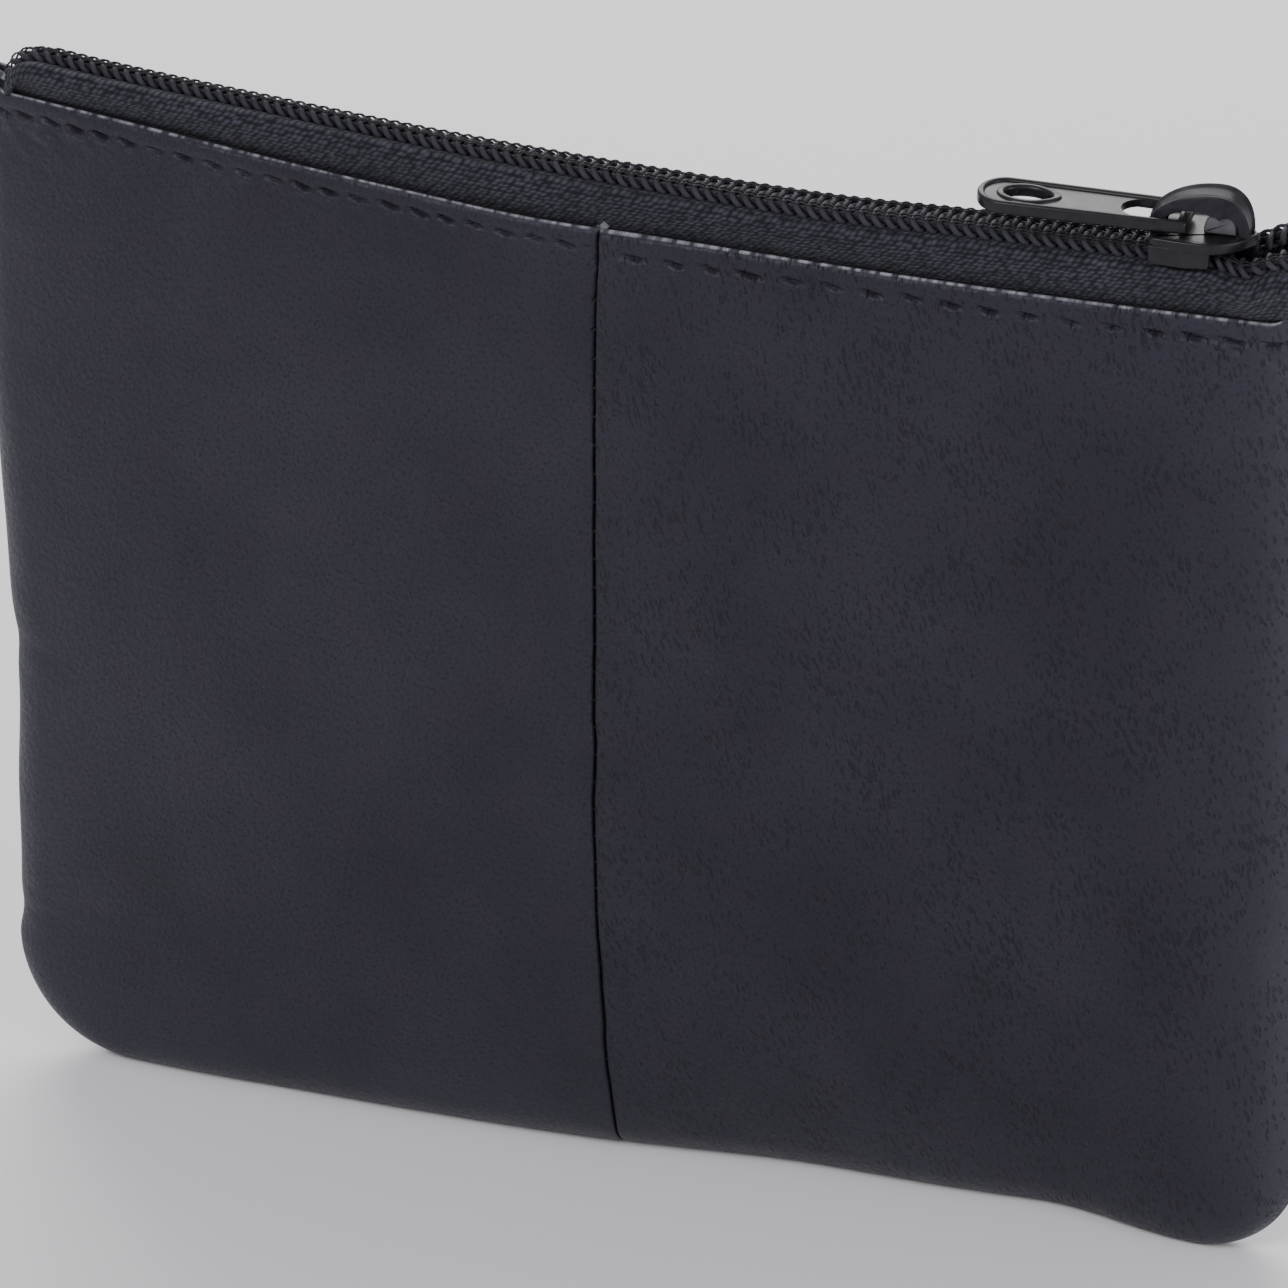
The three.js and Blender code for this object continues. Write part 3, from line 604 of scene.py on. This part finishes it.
def leather_wall(side, face):
    columns, rows = wall_columns(face), wall_rows()
    z = rows[:, 0:1]
    start, share, dive, tuck = columns.T[:, None, :]
    edge = edge_at(side, z)
    x = start + (edge - start) * share
    inset = near_outline(side, x, z)
    curve = quarter(inset / EDGE_ROLL)
    depth = np.maximum(dive, rows[:, 1:2])
    outer = 1 - smooth(rows[:, 1:2] / HEM_RADIUS)
    broken = 0.05 * noise(side * x / 0.7, 2.5 + 0 * z, 61 + face)
    broken = broken + 0.05 * noise(side * x / 2.7, 1 + 0 * z, 62)
    height = fullness(side, x, z) + relief(side, face, x, z) * (depth < 5) * outer
    height = height + broken * smooth((z - WALL_HEIGHT + 1.6) / 1.2)
    half = SEAM_HALF_GAP + (height - SEAM_HALF_GAP) * curve
    half = np.maximum(half - depth * np.where(depth > 50, 1, np.maximum(curve, 0.3)), SEAM_HALF_GAP)
    x = x - tuck
    crease = 0.17 * rows[:, 3:4] * (0.3 + 0.7 * smooth((5 - side * x) / 30))
    lifted = z + rows[:, 2:3] + crown_at(side * x, z) - crease + 0.6 * broken * (rows[:, 1:2] > 0)
    y = MIDDLE_FORWARD - bow_at(side * x, z) + face * half
    waver = (0.13 * noise(z / 5.5, 7, 71) + 0.05 * noise(z / 1.9, 3, 72)) * np.exp(-x / 1.5)
    points = np.stack([side * x + waver, y, lifted], -1)
    uv = np.stack([side * x + 0 * z, lifted], -1)
    wall = mesh_piece(
        half_label(face, side, "leather"),
        points.reshape(-1, 3),
        grid_faces(len(rows), len(columns), flip=side * face > 0),
        LEATHER_MATERIAL[side],
        uv.reshape(-1, 2),
    )
    # The crest of the folded edge, which gets more gloss and a painted highlight.
    fold = smooth((z - WALL_HEIGHT + 0.2) / 0.15) * (rows[:, 1:2] < 1.05 * HEM_RADIUS)
    crest_gloss_and_highlight = wall.data.attributes.new("crest_gloss_and_highlight", "FLOAT", "POINT")
    crest_gloss_and_highlight.data.foreach_set("value", (fold + 0 * x).ravel().astype(np.float32))
    # Nearness to the outline, for the painted highlight along the rounded seam edges.
    rim = wall.data.attributes.new("edge", "FLOAT", "POINT")
    rim.data.foreach_set("value", np.exp(-np.maximum(inset, 0) / 4.0).ravel().astype(np.float32))
    add_modifier(wall, "SOLIDIFY", thickness=LEATHER * MM, offset=-1)
    apply_modifiers(wall)
    for vertex in wall.data.vertices:
        vertex.co.z = max(vertex.co.z, 0)
    return wall


def surface_point(side, face, x, z, out):
    """Points on the leather, or out from it."""
    curve = quarter(near_outline(side, x, z) / EDGE_ROLL)
    height = fullness(side, x, z) + relief(side, face, x, z)
    half = SEAM_HALF_GAP + (height - SEAM_HALF_GAP) * curve + out
    return beside_middle(side, face, x, z, half)


def top_stitches(side, face):
    """Each stitch lies in its crease and dips into the leather at its two holes."""
    lines = []
    for k in range(int((TOP_HALF_WIDTH - 3.6) / STITCH_PITCH[side])):
        share = np.linspace(0, 1, 13)
        x = (k + 0.05 + 0.9 * share) * STITCH_PITCH[side]
        x = np.maximum(x, 0.75)
        z = WALL_HEIGHT - STITCH_DROP[side] + 0.14 * (share - 0.5) * side
        path = surface_point(side, face, x, z, -0.05)
        path[:, 1] -= face * (0.05 + 0.4 * np.abs(2 * share - 1) ** 4)
        lines.append((path, 0.1))
    return lines


def centre_seam_stitches(face):
    """Short threads that show across the groove between the two halves."""
    lines = []
    for k in range(1, 33):
        z = k * SEAM_STITCH_PITCH
        across = np.linspace(-0.42, 0.3, 9)
        path = surface_point(1, face, 0.75 + 0 * across, z + 0.5 * across, 0.0)
        path[:, 0] = across
        path[:, 1] -= face * (0.3 + 1.6 * (across + 0.06) ** 2)
        lines.append((path, 0.12))
    return lines


def closing_seam_stitches():
    """Round the sides and the bottom, through the turned-in edges."""
    inset = 2.2
    route = []
    for side in (-1, 1):
        radius = CORNER_RADIUS[side]
        z = np.linspace(80, radius, 60)
        down = np.stack([side * (straight_edge(side, z) - inset), z], -1)
        turn = np.linspace(0, math.pi / 2, 14)[1:]
        reach = radius - inset
        centre = WAIST_HALF_WIDTH[side] - radius
        corner = np.stack([side * (centre + reach * np.cos(turn)), radius - reach * np.sin(turn)], -1)
        route.append(np.concatenate([down, corner]))
    route = np.concatenate([route[0], [[x, inset] for x in np.linspace(-44, 50, 50)], route[1][::-1]])
    steps = np.r_[0, np.cumsum(np.linalg.norm(np.diff(route, axis=0), axis=1))]
    along = np.arange(0, steps[-1], 0.4)
    x, z = np.interp(along, steps, route[:, 0]), np.interp(along, steps, route[:, 1])
    y = MIDDLE_FORWARD - bow_at(x, z) + 0.12 * np.sin(2 * math.pi * along / 2.6)
    return [(np.stack([x, y, z], -1), 0.12)]


def lining_half(side, face):
    """Hangs inside the leather, from behind the hem down to the seams."""
    share = np.linspace(0, 1, 70) ** 0.9
    z = np.r_[4.4 + 3 * np.linspace(0, 1, 8) ** 1.5, np.linspace(7.4, WALL_HEIGHT - 3.4, 80)[1:]][:, None]
    edge = edge_at(side, z) - 4.4
    x = edge * share[None, :]
    inset = np.minimum(edge - x, z - 4.4)
    under = 1.5 + 0.75 * (1 - smooth((x - 5) / 3)) + 0.6 * smooth((z - 84) / 3) * smooth(x / 7)
    under = under + 0.14 * noise(side * x / 9, z / 14, 40 + face) + 0.14
    folds = 0.12 * noise(side * x / 2.6, z / 21, 44 + face) * smooth(inset / 6)
    room = np.maximum(fullness(side, x, z) - under + folds - SEAM_HALF_GAP, 0.1)
    points = beside_middle(side, face, x, z, SEAM_HALF_GAP + room * quarter(inset / 2.2))
    uv = np.stack([side * x, z + 0 * x], -1).reshape(-1, 2)
    wall = mesh_piece(
        half_label(face, side, "lining_cloth"),
        points.reshape(-1, 3),
        grid_faces(len(z), len(share), flip=side * face > 0),
        LINING_MATERIAL,
        uv,
    )
    add_modifier(wall, "SOLIDIFY", thickness=LINING * MM, offset=-1)
    return apply_modifiers(wall)


for face, wall_name in ((-1, "front"), (1, "back")):
    for side, half_name in ((-1, "left"), (1, "right")):
        tie(leather_wall(side, face), [f"{wall_name}_panel_{half_name}"], face)
        tie(lining_half(side, face), [f"{wall_name}_lining"], face)
        stitches = tubes_piece(half_label(face, side, "stitches"), top_stitches(side, face), THREAD_MATERIAL)
        tie(stitches, [f"{wall_name}_top_stitch_{half_name}"], face)
    seam = tubes_piece(f"{wall_name}_seam_stitches", centre_seam_stitches(face), THREAD_MATERIAL)
    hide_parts(f"{wall_name}_centre_seam_thread")
    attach(seam, "front_wall" if face < 0 else "purse")


# ---------------- zip
def parted_at(s):
    """How far each coil stands off the chain's middle, right of the slider."""
    return 1.9 * smooth((s - SLIDER_AT - 0.2) / 4.6)


def on_chain(s, across, up, face):
    """A point by its distance along the chain, its offset to the wall's side and its height."""
    s, across, up = np.broadcast_arrays(*(np.asarray(v, float) for v in (s, across, up)))
    lean = CHAIN_LEAN * smooth((40 - s) / 86)
    back = face * across
    across = face * (back * np.cos(lean) + up * np.sin(lean))
    up = up * np.cos(lean) - back * np.sin(lean)
    radius = np.where(s < 0, CURL_RADIUS[0], CURL_RADIUS[1])
    left = clamp((CHAIN_ENDS[0] - s) / radius, 0, 9)
    right = clamp((s - CHAIN_ENDS[1]) / radius, 0, 9)
    past = left + right
    turn = np.minimum(past, math.pi / 2)
    straight = np.maximum(past - math.pi / 2, 0) * radius
    forward = np.where(left > 0, -1, 1) * (radius * np.sin(turn) + up * np.sin(turn))
    base = np.where(left > 0, CHAIN_ENDS[0], np.where(right > 0, CHAIN_ENDS[1], s))
    place_s = base + np.where(past > 0, forward, 0)
    z = CHAIN_Z - radius * (1 - np.cos(turn)) - straight + up * np.cos(turn)
    z = z - 0.5 * smooth((36 - s) / 18) - 0.3 * smooth((-30 - s) / 25) + 1.3 * smooth((s - 56.5) / 3.5)
    offset = across + parted_at(s) * (1 - 0.35 * smooth(right / 1.5)) - 0.5 * smooth(past / 1.6)
    angle = place_s / RADIUS
    reach = RADIUS - face * offset
    x = reach * np.sin(angle)
    y = MIDDLE_FORWARD + RADIUS - BOW_TOP - reach * np.cos(angle)
    return np.stack([x, y, z], -1)


WIRE = 0.26  # radius of the monofilament
HEAD, OUTER = -0.36, 1.78  # a coil reaches between these, across the chain
HALF_DEPTH = 0.46  # and this far up and down
WIRE_STEPS = 18  # to each turn of the coil


def coil_lines(face, low, high):
    """The wound monofilament, the cord inside it and the two threads that sew it down."""
    first = math.ceil(low / TOOTH_PITCH) * TOOTH_PITCH + (0 if face < 0 else TOOTH_PITCH / 2)
    count = int((high - first) / TOOTH_PITCH)
    t = np.linspace(-1, 1, WIRE_STEPS, endpoint=False)
    t = (t[None, :] + np.zeros((count, 1))).ravel()
    element = np.repeat(np.arange(count), WIRE_STEPS)
    advance = 0.2 * (t + 1) / 2 + 0.8 * smooth((t + 0.42) / 0.84)
    s = first + (element + advance - 0.5) * TOOTH_PITCH
    flat = np.sign(np.cos(math.pi * t)) * np.abs(np.cos(math.pi * t)) ** 0.75
    across = (HEAD + OUTER) / 2 + (OUTER - HEAD) / 2 * flat
    up = -np.sign(np.sin(math.pi * t)) * HALF_DEPTH * np.abs(np.sin(math.pi * t)) ** 0.7
    wire = on_chain(s, across, up, face)
    head = clamp(-np.cos(math.pi * t)) ** 3
    radius = WIRE * (1 + 0.12 * head)
    along = np.arange(low, high, 0.29)
    core = on_chain(along, 1.0, 0.0, face)
    phase = 2 * math.pi * (along - first) / TOOTH_PITCH
    over = HALF_DEPTH + WIRE + 0.02 + 0.09 * np.cos(phase)
    thread_a = on_chain(along, 0.95 + 0.07 * np.sin(phase), over, face)
    thread_b = on_chain(along, 1.42 - 0.07 * np.sin(phase), over - 0.04, face)
    return (wire, radius), (core, 0.34), (thread_a, 0.09), (thread_b, 0.09)


def tape_half(face, low, high):
    """Flat under the coil, over a shoulder, and down behind the hem."""
    s = np.linspace(low, high, int((high - low) / 0.36))[:, None]
    x_here = np.abs(s)
    behind = np.maximum(fullness(1, np.minimum(x_here, 60), WALL_HEIGHT) - 1.75, 0.6)
    past = clamp((CHAIN_ENDS[0] - s) / 2.5, 0, 1) + clamp((s - CHAIN_ENDS[1]) / 2.0, 0, 1)
    crest = WALL_HEIGHT + crown_at(np.clip(s, -59, 59), WALL_HEIGHT)
    under = -HALF_DEPTH - WIRE - 0.1
    knots = [(0.5, under), (1.3, under), (2.0, under)]
    knots += [(2.3, under - 0.12), (2.42, under - 0.4), (2.45, under - 0.9)]
    columns = [on_chain(s[:, 0], across, up, face) for across, up in knots]
    last = columns[-1]
    foot_s = np.clip(s[:, 0], -60.6, 61.2)
    foot_radius = RADIUS - face * behind[:, 0]
    foot = np.stack(
        [
            foot_radius * np.sin(foot_s / RADIUS),
            MIDDLE_FORWARD + RADIUS - BOW_TOP - foot_radius * np.cos(foot_s / RADIUS),
            crest[:, 0] - 0.5,
        ],
        -1,
    )
    for share in (0.2, 0.4, 0.6, 0.8, 1.0):
        bulge = 0.25 * math.sin(math.pi * share)
        point = last + (foot - last) * share
        point[:, 1] += face * bulge * (1 - past[:, 0])
        columns.append(point)
    for drop in (2.0, 4.0, 6.0):
        point = foot.copy()
        point[:, 2] -= drop
        columns.append(point)
    points = np.stack(columns, 1)
    # Cutting the corners twice rounds the shoulder.
    for _ in range(2):
        above, below = points[:, :-1], points[:, 1:]
        cut = np.stack([0.75 * above + 0.25 * below, 0.25 * above + 0.75 * below], 2)
        points = np.concatenate([points[:, :1], cut.reshape(len(s), -1, 3), points[:, -1:]], 1)
    widths = np.linalg.norm(np.diff(points, axis=1), axis=2).mean(0)
    down = np.r_[0, np.cumsum(widths)]
    uv = np.stack(np.broadcast_arrays(s, down[None, :]), -1).reshape(-1, 2)
    name = "back_tape" if face > 0 else half_label(face, -1 if high <= 0 else 1, "tape")
    faces = grid_faces(*points.shape[:2], flip=face < 0)
    piece = mesh_piece(name, points.reshape(-1, 3), faces, TAPE_MATERIAL, uv)
    add_modifier(piece, "SOLIDIFY", thickness=TAPE * MM, offset=-1)
    return apply_modifiers(piece)


for face, low, high, half_name in (
    (-1, CHAIN_LOW, 0, "_left"),
    (-1, 0, CHAIN_HIGH, "_right"),
    (1, CHAIN_LOW, CHAIN_HIGH, ""),
):
    wall_name = "front" if face < 0 else "back"
    side = -1 if high <= 0 else 1
    wire, core, *threads = coil_lines(face, low, high)
    coil = tubes_piece(f"{wall_name}_coil{half_name}", [wire], NYLON_MATERIAL)
    tie(coil, [f"{wall_name}_zip_coil"], face)
    sewing = tubes_piece(f"{wall_name}_coil_thread{half_name}", [core, *threads], COIL_THREAD_MATERIAL, 6)
    tie(sewing, [], face)
    tie(tape_half(face, low, high), [f"{wall_name}_zip_tape"], face)


# ---------------- slider
# Its own shapes are drawn with x along the chain and z up, from the middle of the chain at rest.
CAVITY_TOP = 1.25  # underside of the upper plate
PLATE_TOP = CAVITY_TOP + 0.9
LOWER_PLATE = (-3.9, -3.15)
FLANGE = (  # seen from the side
    (-4.35, 1.6),
    (-4.35, 0.3),
    (-3.95, -0.12),
    (-1.2, -0.24),
    (0.2, -0.1),
    (0.75, -0.1),
    (0.95, 0.3),
    (0.95, 1.6),
)
FLANGE_SIDE = 3.12  # outer face from the slider's middle
BONNET_ENDS = (-4.6, 3.7)
BONNET_PEAK = (1.1, 3.5)  # along the slider, and above the plate
SLIDER_ANGLE = SLIDER_AT / RADIUS
SLIDER_ORIGIN = on_chain(SLIDER_AT, -parted_at(SLIDER_AT), 0, 1)


def slider_world(points):
    """Turns the slider's own points onto the chain."""
    c, s = math.cos(SLIDER_ANGLE), math.sin(SLIDER_ANGLE)
    points = np.asarray(points, float)
    x = points[:, 0] * c - points[:, 1] * s
    y = points[:, 0] * s + points[:, 1] * c
    return np.stack([x, y, points[:, 2]], 1) + SLIDER_ORIGIN


def bezier(a, b, c, d, count):
    """Points of a cubic curve, without its last."""
    t = np.linspace(0, 1, count, endpoint=False)[:, None]
    a, b, c, d = (np.array(p, float) for p in (a, b, c, d))
    return a * (1 - t) ** 3 + 3 * b * t * (1 - t) ** 2 + 3 * c * t**2 * (1 - t) + d * t**3


def inset_outline(outline, amount):
    before, after = np.roll(outline, 1, 0), np.roll(outline, -1, 0)
    tangent = after - before
    tangent /= np.linalg.norm(tangent, axis=1)[:, None]
    return outline + np.stack([-tangent[:, 1], tangent[:, 0]], 1) * amount


def lofted(outline, profile):
    """A plate from a counter-clockwise outline. profile holds (inset, height) from below upwards."""
    count = len(outline)
    rings = [np.c_[inset_outline(outline, inset), np.full(count, z)] for inset, z in profile]
    return np.concatenate(rings), ring_faces(len(profile), count)


def merged(parts):
    """One list of vertices and faces from several."""
    vertices, faces, start = [], [], 0
    for v, f in parts:
        vertices.append(v)
        faces += [[i + start for i in face] for face in f]
        start += len(v)
    return np.concatenate(vertices), faces


def rounded(low, high, edge):
    """The profile of a plate with rounded edges."""
    turn = np.linspace(0, math.pi / 2, 5)
    bottom = [(edge * (1 - math.sin(a)), low + edge * (1 - math.cos(a))) for a in turn]
    top = [(edge * (1 - math.cos(a)), high - edge * (1 - math.sin(a))) for a in turn]
    return bottom + top


def leaf_outline(scale=1.0):
    """A plate's outline seen from above: blunt at its tail and narrow at its nose. scale is its width."""
    tail, nose = -4.6, 4.6
    full, tail_half, nose_half = 3.25 * scale, 3.0 * scale, 1.0 * scale
    shoulder, waist, cheek = (tail + 0.7, -tail_half), (-0.1, -full), (4.35, -nose_half * 0.6)
    lower = np.concatenate(
        [
            bezier((tail, 0), (tail, -tail_half * 0.5), (tail - 0.1, -tail_half), shoulder, 10),
            bezier(shoulder, (-2.5, -tail_half - 0.1), (-1.5, -full), waist, 10),
            bezier(waist, (1.9, -full), (3.4, -nose_half - 1.1), cheek, 16),
            bezier(cheek, (4.5, -nose_half * 0.35), (nose, -nose_half * 0.2), (nose, 0), 5),
        ]
    )
    upper = lower[1:][::-1] * (1, -1)
    return np.concatenate([lower, [[nose, 0]], upper])


def slider_body():
    """Two plates joined by a wedge, with a flange down each side of the upper one."""
    rim = rounded(CAVITY_TOP, PLATE_TOP + 0.14, 0.2)
    rim += [(0.42, PLATE_TOP + 0.1), (0.6, PLATE_TOP), (1.0, PLATE_TOP)]
    parts = [lofted(leaf_outline(), rim), lofted(leaf_outline(0.42), rounded(*LOWER_PLATE, 0.2))]
    corners = np.array(FLANGE)
    outline = []
    for a, b in zip(corners, np.roll(corners, -1, 0)):
        outline += [a + (b - a) * f for f in (0.0, 0.5)]
    flange, faces = lofted(np.array(outline), rounded(-0.32, 0.32, 0.13))
    for side in (-1, 1):
        across = side * FLANGE_SIDE - side * 0.3 - flange[:, 2]
        parts.append((np.stack([flange[:, 0], across, flange[:, 1]], 1), faces))
    wedge = np.array([(2.5, 0), (3.2, -0.28), (4.3, -0.26), (4.3, 0.26), (3.2, 0.28)])
    parts.append(lofted(wedge, [(0, -3.25), (0, CAVITY_TOP + 0.1)]))
    return merged(parts)


def arch_path():
    """The bonnet's middle line, seen from the side."""
    (left, right), (peak, rise) = BONNET_ENDS, BONNET_PEAK
    base = PLATE_TOP - 0.1
    top = (peak, base + rise)
    first = bezier((left, base), (left, base + rise * 0.55), (peak - 3.0, base + rise), top, 40)
    last = bezier(top, (peak + 1.8, base + rise), (right, base + rise * 0.6), (right, base), 40)
    return np.concatenate([first, last, [[right, base]]])


# Half of the bonnet's section, from its rim's foot: share of its half width, and height.
BONNET_RIM = ((1, 0.1), (1, 0.3), (0.93, 0.42), (0.8, 0.42), (0.66, 0.3), (0.3, 0.26))
BONNET_UNDERSIDE = ((0.92, -0.2), (0.8, -0.32), (-0.8, -0.32), (-0.92, -0.2))


def bonnet():
    """A dished strap with raised edges that arches over the body."""
    path = arch_path()
    tangent = np.gradient(path, axis=0)
    tangent /= np.linalg.norm(tangent, axis=1)[:, None]
    outward = np.stack([-tangent[:, 1], tangent[:, 0]], 1)
    share = np.linspace(-1, 1, len(path))
    half_width = 1.42 - 0.2 * np.abs(share) ** 3
    drop = 0.3 + 1.25 * bell(share - 0.15, 0.38)  # how much deeper the strap is under its crown
    section = [(-u, v) for u, v in BONNET_RIM] + list(BONNET_RIM[::-1]) + list(BONNET_UNDERSIDE)
    rows = []
    for point, normal, half, under in zip(path, outward, half_width, drop):
        for u, v in section:
            depth = v - under * (v < 0)
            rows.append((point[0] + normal[0] * depth, half * u, point[1] + normal[1] * depth))
    return np.array(rows), ring_faces(len(path), len(section), clockwise=True)


def lock_block():
    """The sprung block under the bonnet, with its tooth below."""
    outline = np.concatenate(
        [
            bezier((0.0, 0.1), (0.6, 0.08), (2.0, 0.08), (2.85, 0.1), 6),
            bezier((2.85, 0.1), (2.9, 0.9), (2.9, 1.3), (2.5, 1.75), 6),
            bezier((2.5, 1.75), (1.9, 2.3), (1.1, 2.25), (0.55, 1.75), 8),
            bezier((0.55, 1.75), (0.15, 1.3), (-0.05, 0.8), (0.0, 0.1), 8),
        ]
    )
    block, faces = lofted(outline, [(0.4, -1.0), *rounded(-1.0, 1.0, 0.26), (0.4, 1.0)])
    flat = np.stack([block[:, 0], -block[:, 2], PLATE_TOP + block[:, 1]], 1)
    square = np.array([(1.15, -0.38), (1.85, -0.38), (1.85, 0.38), (1.15, 0.38)])
    tooth = lofted(square, [(0, CAVITY_TOP - 0.15), (0, PLATE_TOP + 0.2)])
    return merged([(flat, faces), tooth])


def curve_plate(contours, half_thickness, bevel):
    """A flat plate with holes and rounded edges, from closed outlines."""
    curve = bpy.data.curves.new("plate", "CURVE")
    curve.dimensions = "2D"
    curve.fill_mode = "BOTH"
    curve.extrude = half_thickness - bevel
    curve.bevel_depth = bevel
    curve.bevel_resolution = 3
    curve.offset = -bevel
    for contour in contours:
        spline = curve.splines.new("POLY")
        spline.points.add(len(contour) - 1)
        spline.points.foreach_set("co", np.c_[contour, np.zeros(len(contour)), np.ones(len(contour))].ravel())
        spline.use_cyclic_u = True
    holder = add_object("plate", curve)
    mesh = evaluated_mesh(holder)
    bpy.data.objects.remove(holder)
    vertices = np.array([v.co for v in mesh.vertices])
    faces = [list(p.vertices) for p in mesh.polygons]
    bpy.data.meshes.remove(mesh)
    return vertices, faces


# The puller's own shapes are drawn with x from its bar to its free end.
PULLER_LENGTH = 18.15
PULLER_HALF_WIDTH = 2.55
PULLER_TILT = math.radians(0.8)  # of the free end above the plate
BAR_RADIUS = 0.36
EYE_FROM_END = 4.3
PIVOT = np.array([-1.7, 0, PLATE_TOP + 0.95])  # middle of the bar, on the slider


def puller_outline(inset=0.0):
    """Square at the bar and round at the free end."""
    half, neck = PULLER_HALF_WIDTH - inset, 2.35 - inset
    start = -0.475 + inset
    turn = np.linspace(-math.pi / 2, math.pi / 2, 30)
    end = np.stack([PULLER_LENGTH - PULLER_HALF_WIDTH + half * np.cos(turn), half * np.sin(turn)], 1)
    before = [(start, -neck + 0.35), (start + 0.12, -neck + 0.1), (start + 0.4, -neck)]
    after = [(start + 0.4, neck), (start + 0.12, neck - 0.1), (start, neck - 0.35)]
    return np.concatenate([before, end, after])


def eye_outline(grow=0.0):
    """The teardrop hole at the free end, drawn out towards the slider."""
    turn = np.linspace(0, 2 * math.pi, 48, endpoint=False)
    stretch = np.where(np.cos(turn) < 0, 1.15, 1.0)
    narrowing = np.where(np.cos(turn) < 0, 1 - 0.25 * np.abs(np.cos(turn)) ** 2, 1)
    x = PULLER_LENGTH - EYE_FROM_END + (1.95 + grow) * np.cos(turn) * stretch
    y = (1.12 + grow) * np.sin(turn) * narrowing
    return np.stack([x, y], 1)


def slot_outline():
    """The hole behind the bar, which the bonnet passes through."""
    half, near, far, reach = 1.62, 0.475, 5.6, 1.9
    arc = np.linspace(-math.pi / 2, math.pi / 2, 24)
    end = np.stack([far - reach + reach * np.cos(arc), half * np.sin(arc)], 1)
    return np.concatenate([[(near, -half)], end, [(near, half)]])


def puller():
    """A thin web with a raised rim, a raised ring round its eye, and a round bar."""
    web = curve_plate([puller_outline(0.2), eye_outline(), slot_outline()], 0.36, 0.06)
    rim = curve_plate([puller_outline(), puller_outline(0.66)], 0.6, 0.3)
    ring = curve_plate([eye_outline(0.72), eye_outline()], 0.56, 0.3)
    bar, bar_faces, _ = tube([(0, y, 0) for y in np.linspace(-2.15, 2.15, 8)], BAR_RADIUS, 16)
    vertices, faces = merged([web, rim, ring, (bar, bar_faces)])
    c, s = math.cos(PULLER_TILT), math.sin(PULLER_TILT)
    x = -(vertices[:, 0] * c - vertices[:, 2] * s)
    z = vertices[:, 0] * s + vertices[:, 2] * c
    return np.stack([x, -vertices[:, 1], z], 1) + PIVOT, faces


for name, (vertices, faces), nodes, body, material in (
    ("slider_plates", slider_body(), ["slider_body"], "slider", PAINT_MATERIAL),
    ("slider_bridge", bonnet(), ["slider_bonnet"], "slider", BRIDGE_MATERIAL),
    ("slider_lock", lock_block(), ["lock_pawl"], "slider", LOCK_MATERIAL),
    ("zip_puller", puller(), ["puller"], "puller", PAINT_MATERIAL),
):
    piece = mesh_piece(name, slider_world(vertices), faces, material)
    add_modifier(piece, "EDGE_SPLIT", split_angle=math.radians(38))
    finish_piece(apply_modifiers(piece), nodes, body=body)

closing = tubes_piece("closing_stitches", closing_seam_stitches(), THREAD_MATERIAL)
finish_piece(closing, ["closing_seam_thread"], body="purse")


# ---------------- floor, light and camera
def floor():
    mesh = bpy.data.meshes.new("floor")
    mesh.from_pydata([(-4, -4, 0), (4, -4, 0), (4, 4, 0), (-4, 4, 0)], [], [(0, 1, 2, 3)])
    plane = add_object("floor", mesh)
    material, _, shader = material_tree("floor")
    shader.inputs["Base Color"].default_value = (0.78, 0.78, 0.8, 1)
    shader.inputs["Roughness"].default_value = 0.7
    mesh.materials.append(material)


def area_light(name, at, target, size, energy, size_y=None):
    light = bpy.data.lights.new(name, "AREA")
    light.energy = energy
    light.size = size
    if size_y:
        light.shape = "RECTANGLE"
        light.size_y = size_y
    holder = add_object(name, light)
    holder.location = at
    holder.rotation_euler = (Vector(target) - Vector(at)).to_track_quat("-Z", "Y").to_euler()


floor()
world = bpy.data.worlds.new("studio")
world.use_nodes = True
world.node_tree.nodes["Background"].inputs["Color"].default_value = (0.96, 0.955, 1, 1)
world.node_tree.nodes["Background"].inputs["Strength"].default_value = 0.55
bpy.context.scene.world = world
area_light("key", (-0.3, -0.9, 0.95), (0, 0, 0.05), 0.5, 9)
area_light("back_top", (-0.3, 0.82, 0.62), (0, 0, 0.09), 0.95, 11, 0.6)
area_light("right_fill", (1.0, -0.4, 0.35), (0, 0, 0.05), 0.5, 5)

AZIMUTH = math.radians(21.29)
ELEVATION = math.radians(29)
DISTANCE = 1.0  # in metres
TARGET = Vector((1.87, MIDDLE_FORWARD - 3.0, 51.91)) * MM
PIXELS_PER_MM = 11.288  # at the target
PICTURE_WIDTH = 1288  # in pixels
SENSOR_WIDTH = 36
level = math.cos(ELEVATION)
back = Vector((math.sin(AZIMUTH) * level, -math.cos(AZIMUTH) * level, math.sin(ELEVATION)))
camera_data = bpy.data.cameras.new("camera")
camera_data.sensor_width = SENSOR_WIDTH
camera_data.lens = PIXELS_PER_MM * 1000 * DISTANCE / PICTURE_WIDTH * SENSOR_WIDTH
camera = add_object("camera", camera_data)
camera.location = TARGET + back * DISTANCE
camera.rotation_euler = (-back).to_track_quat("-Z", "Y").to_euler()
bpy.context.scene.camera = camera
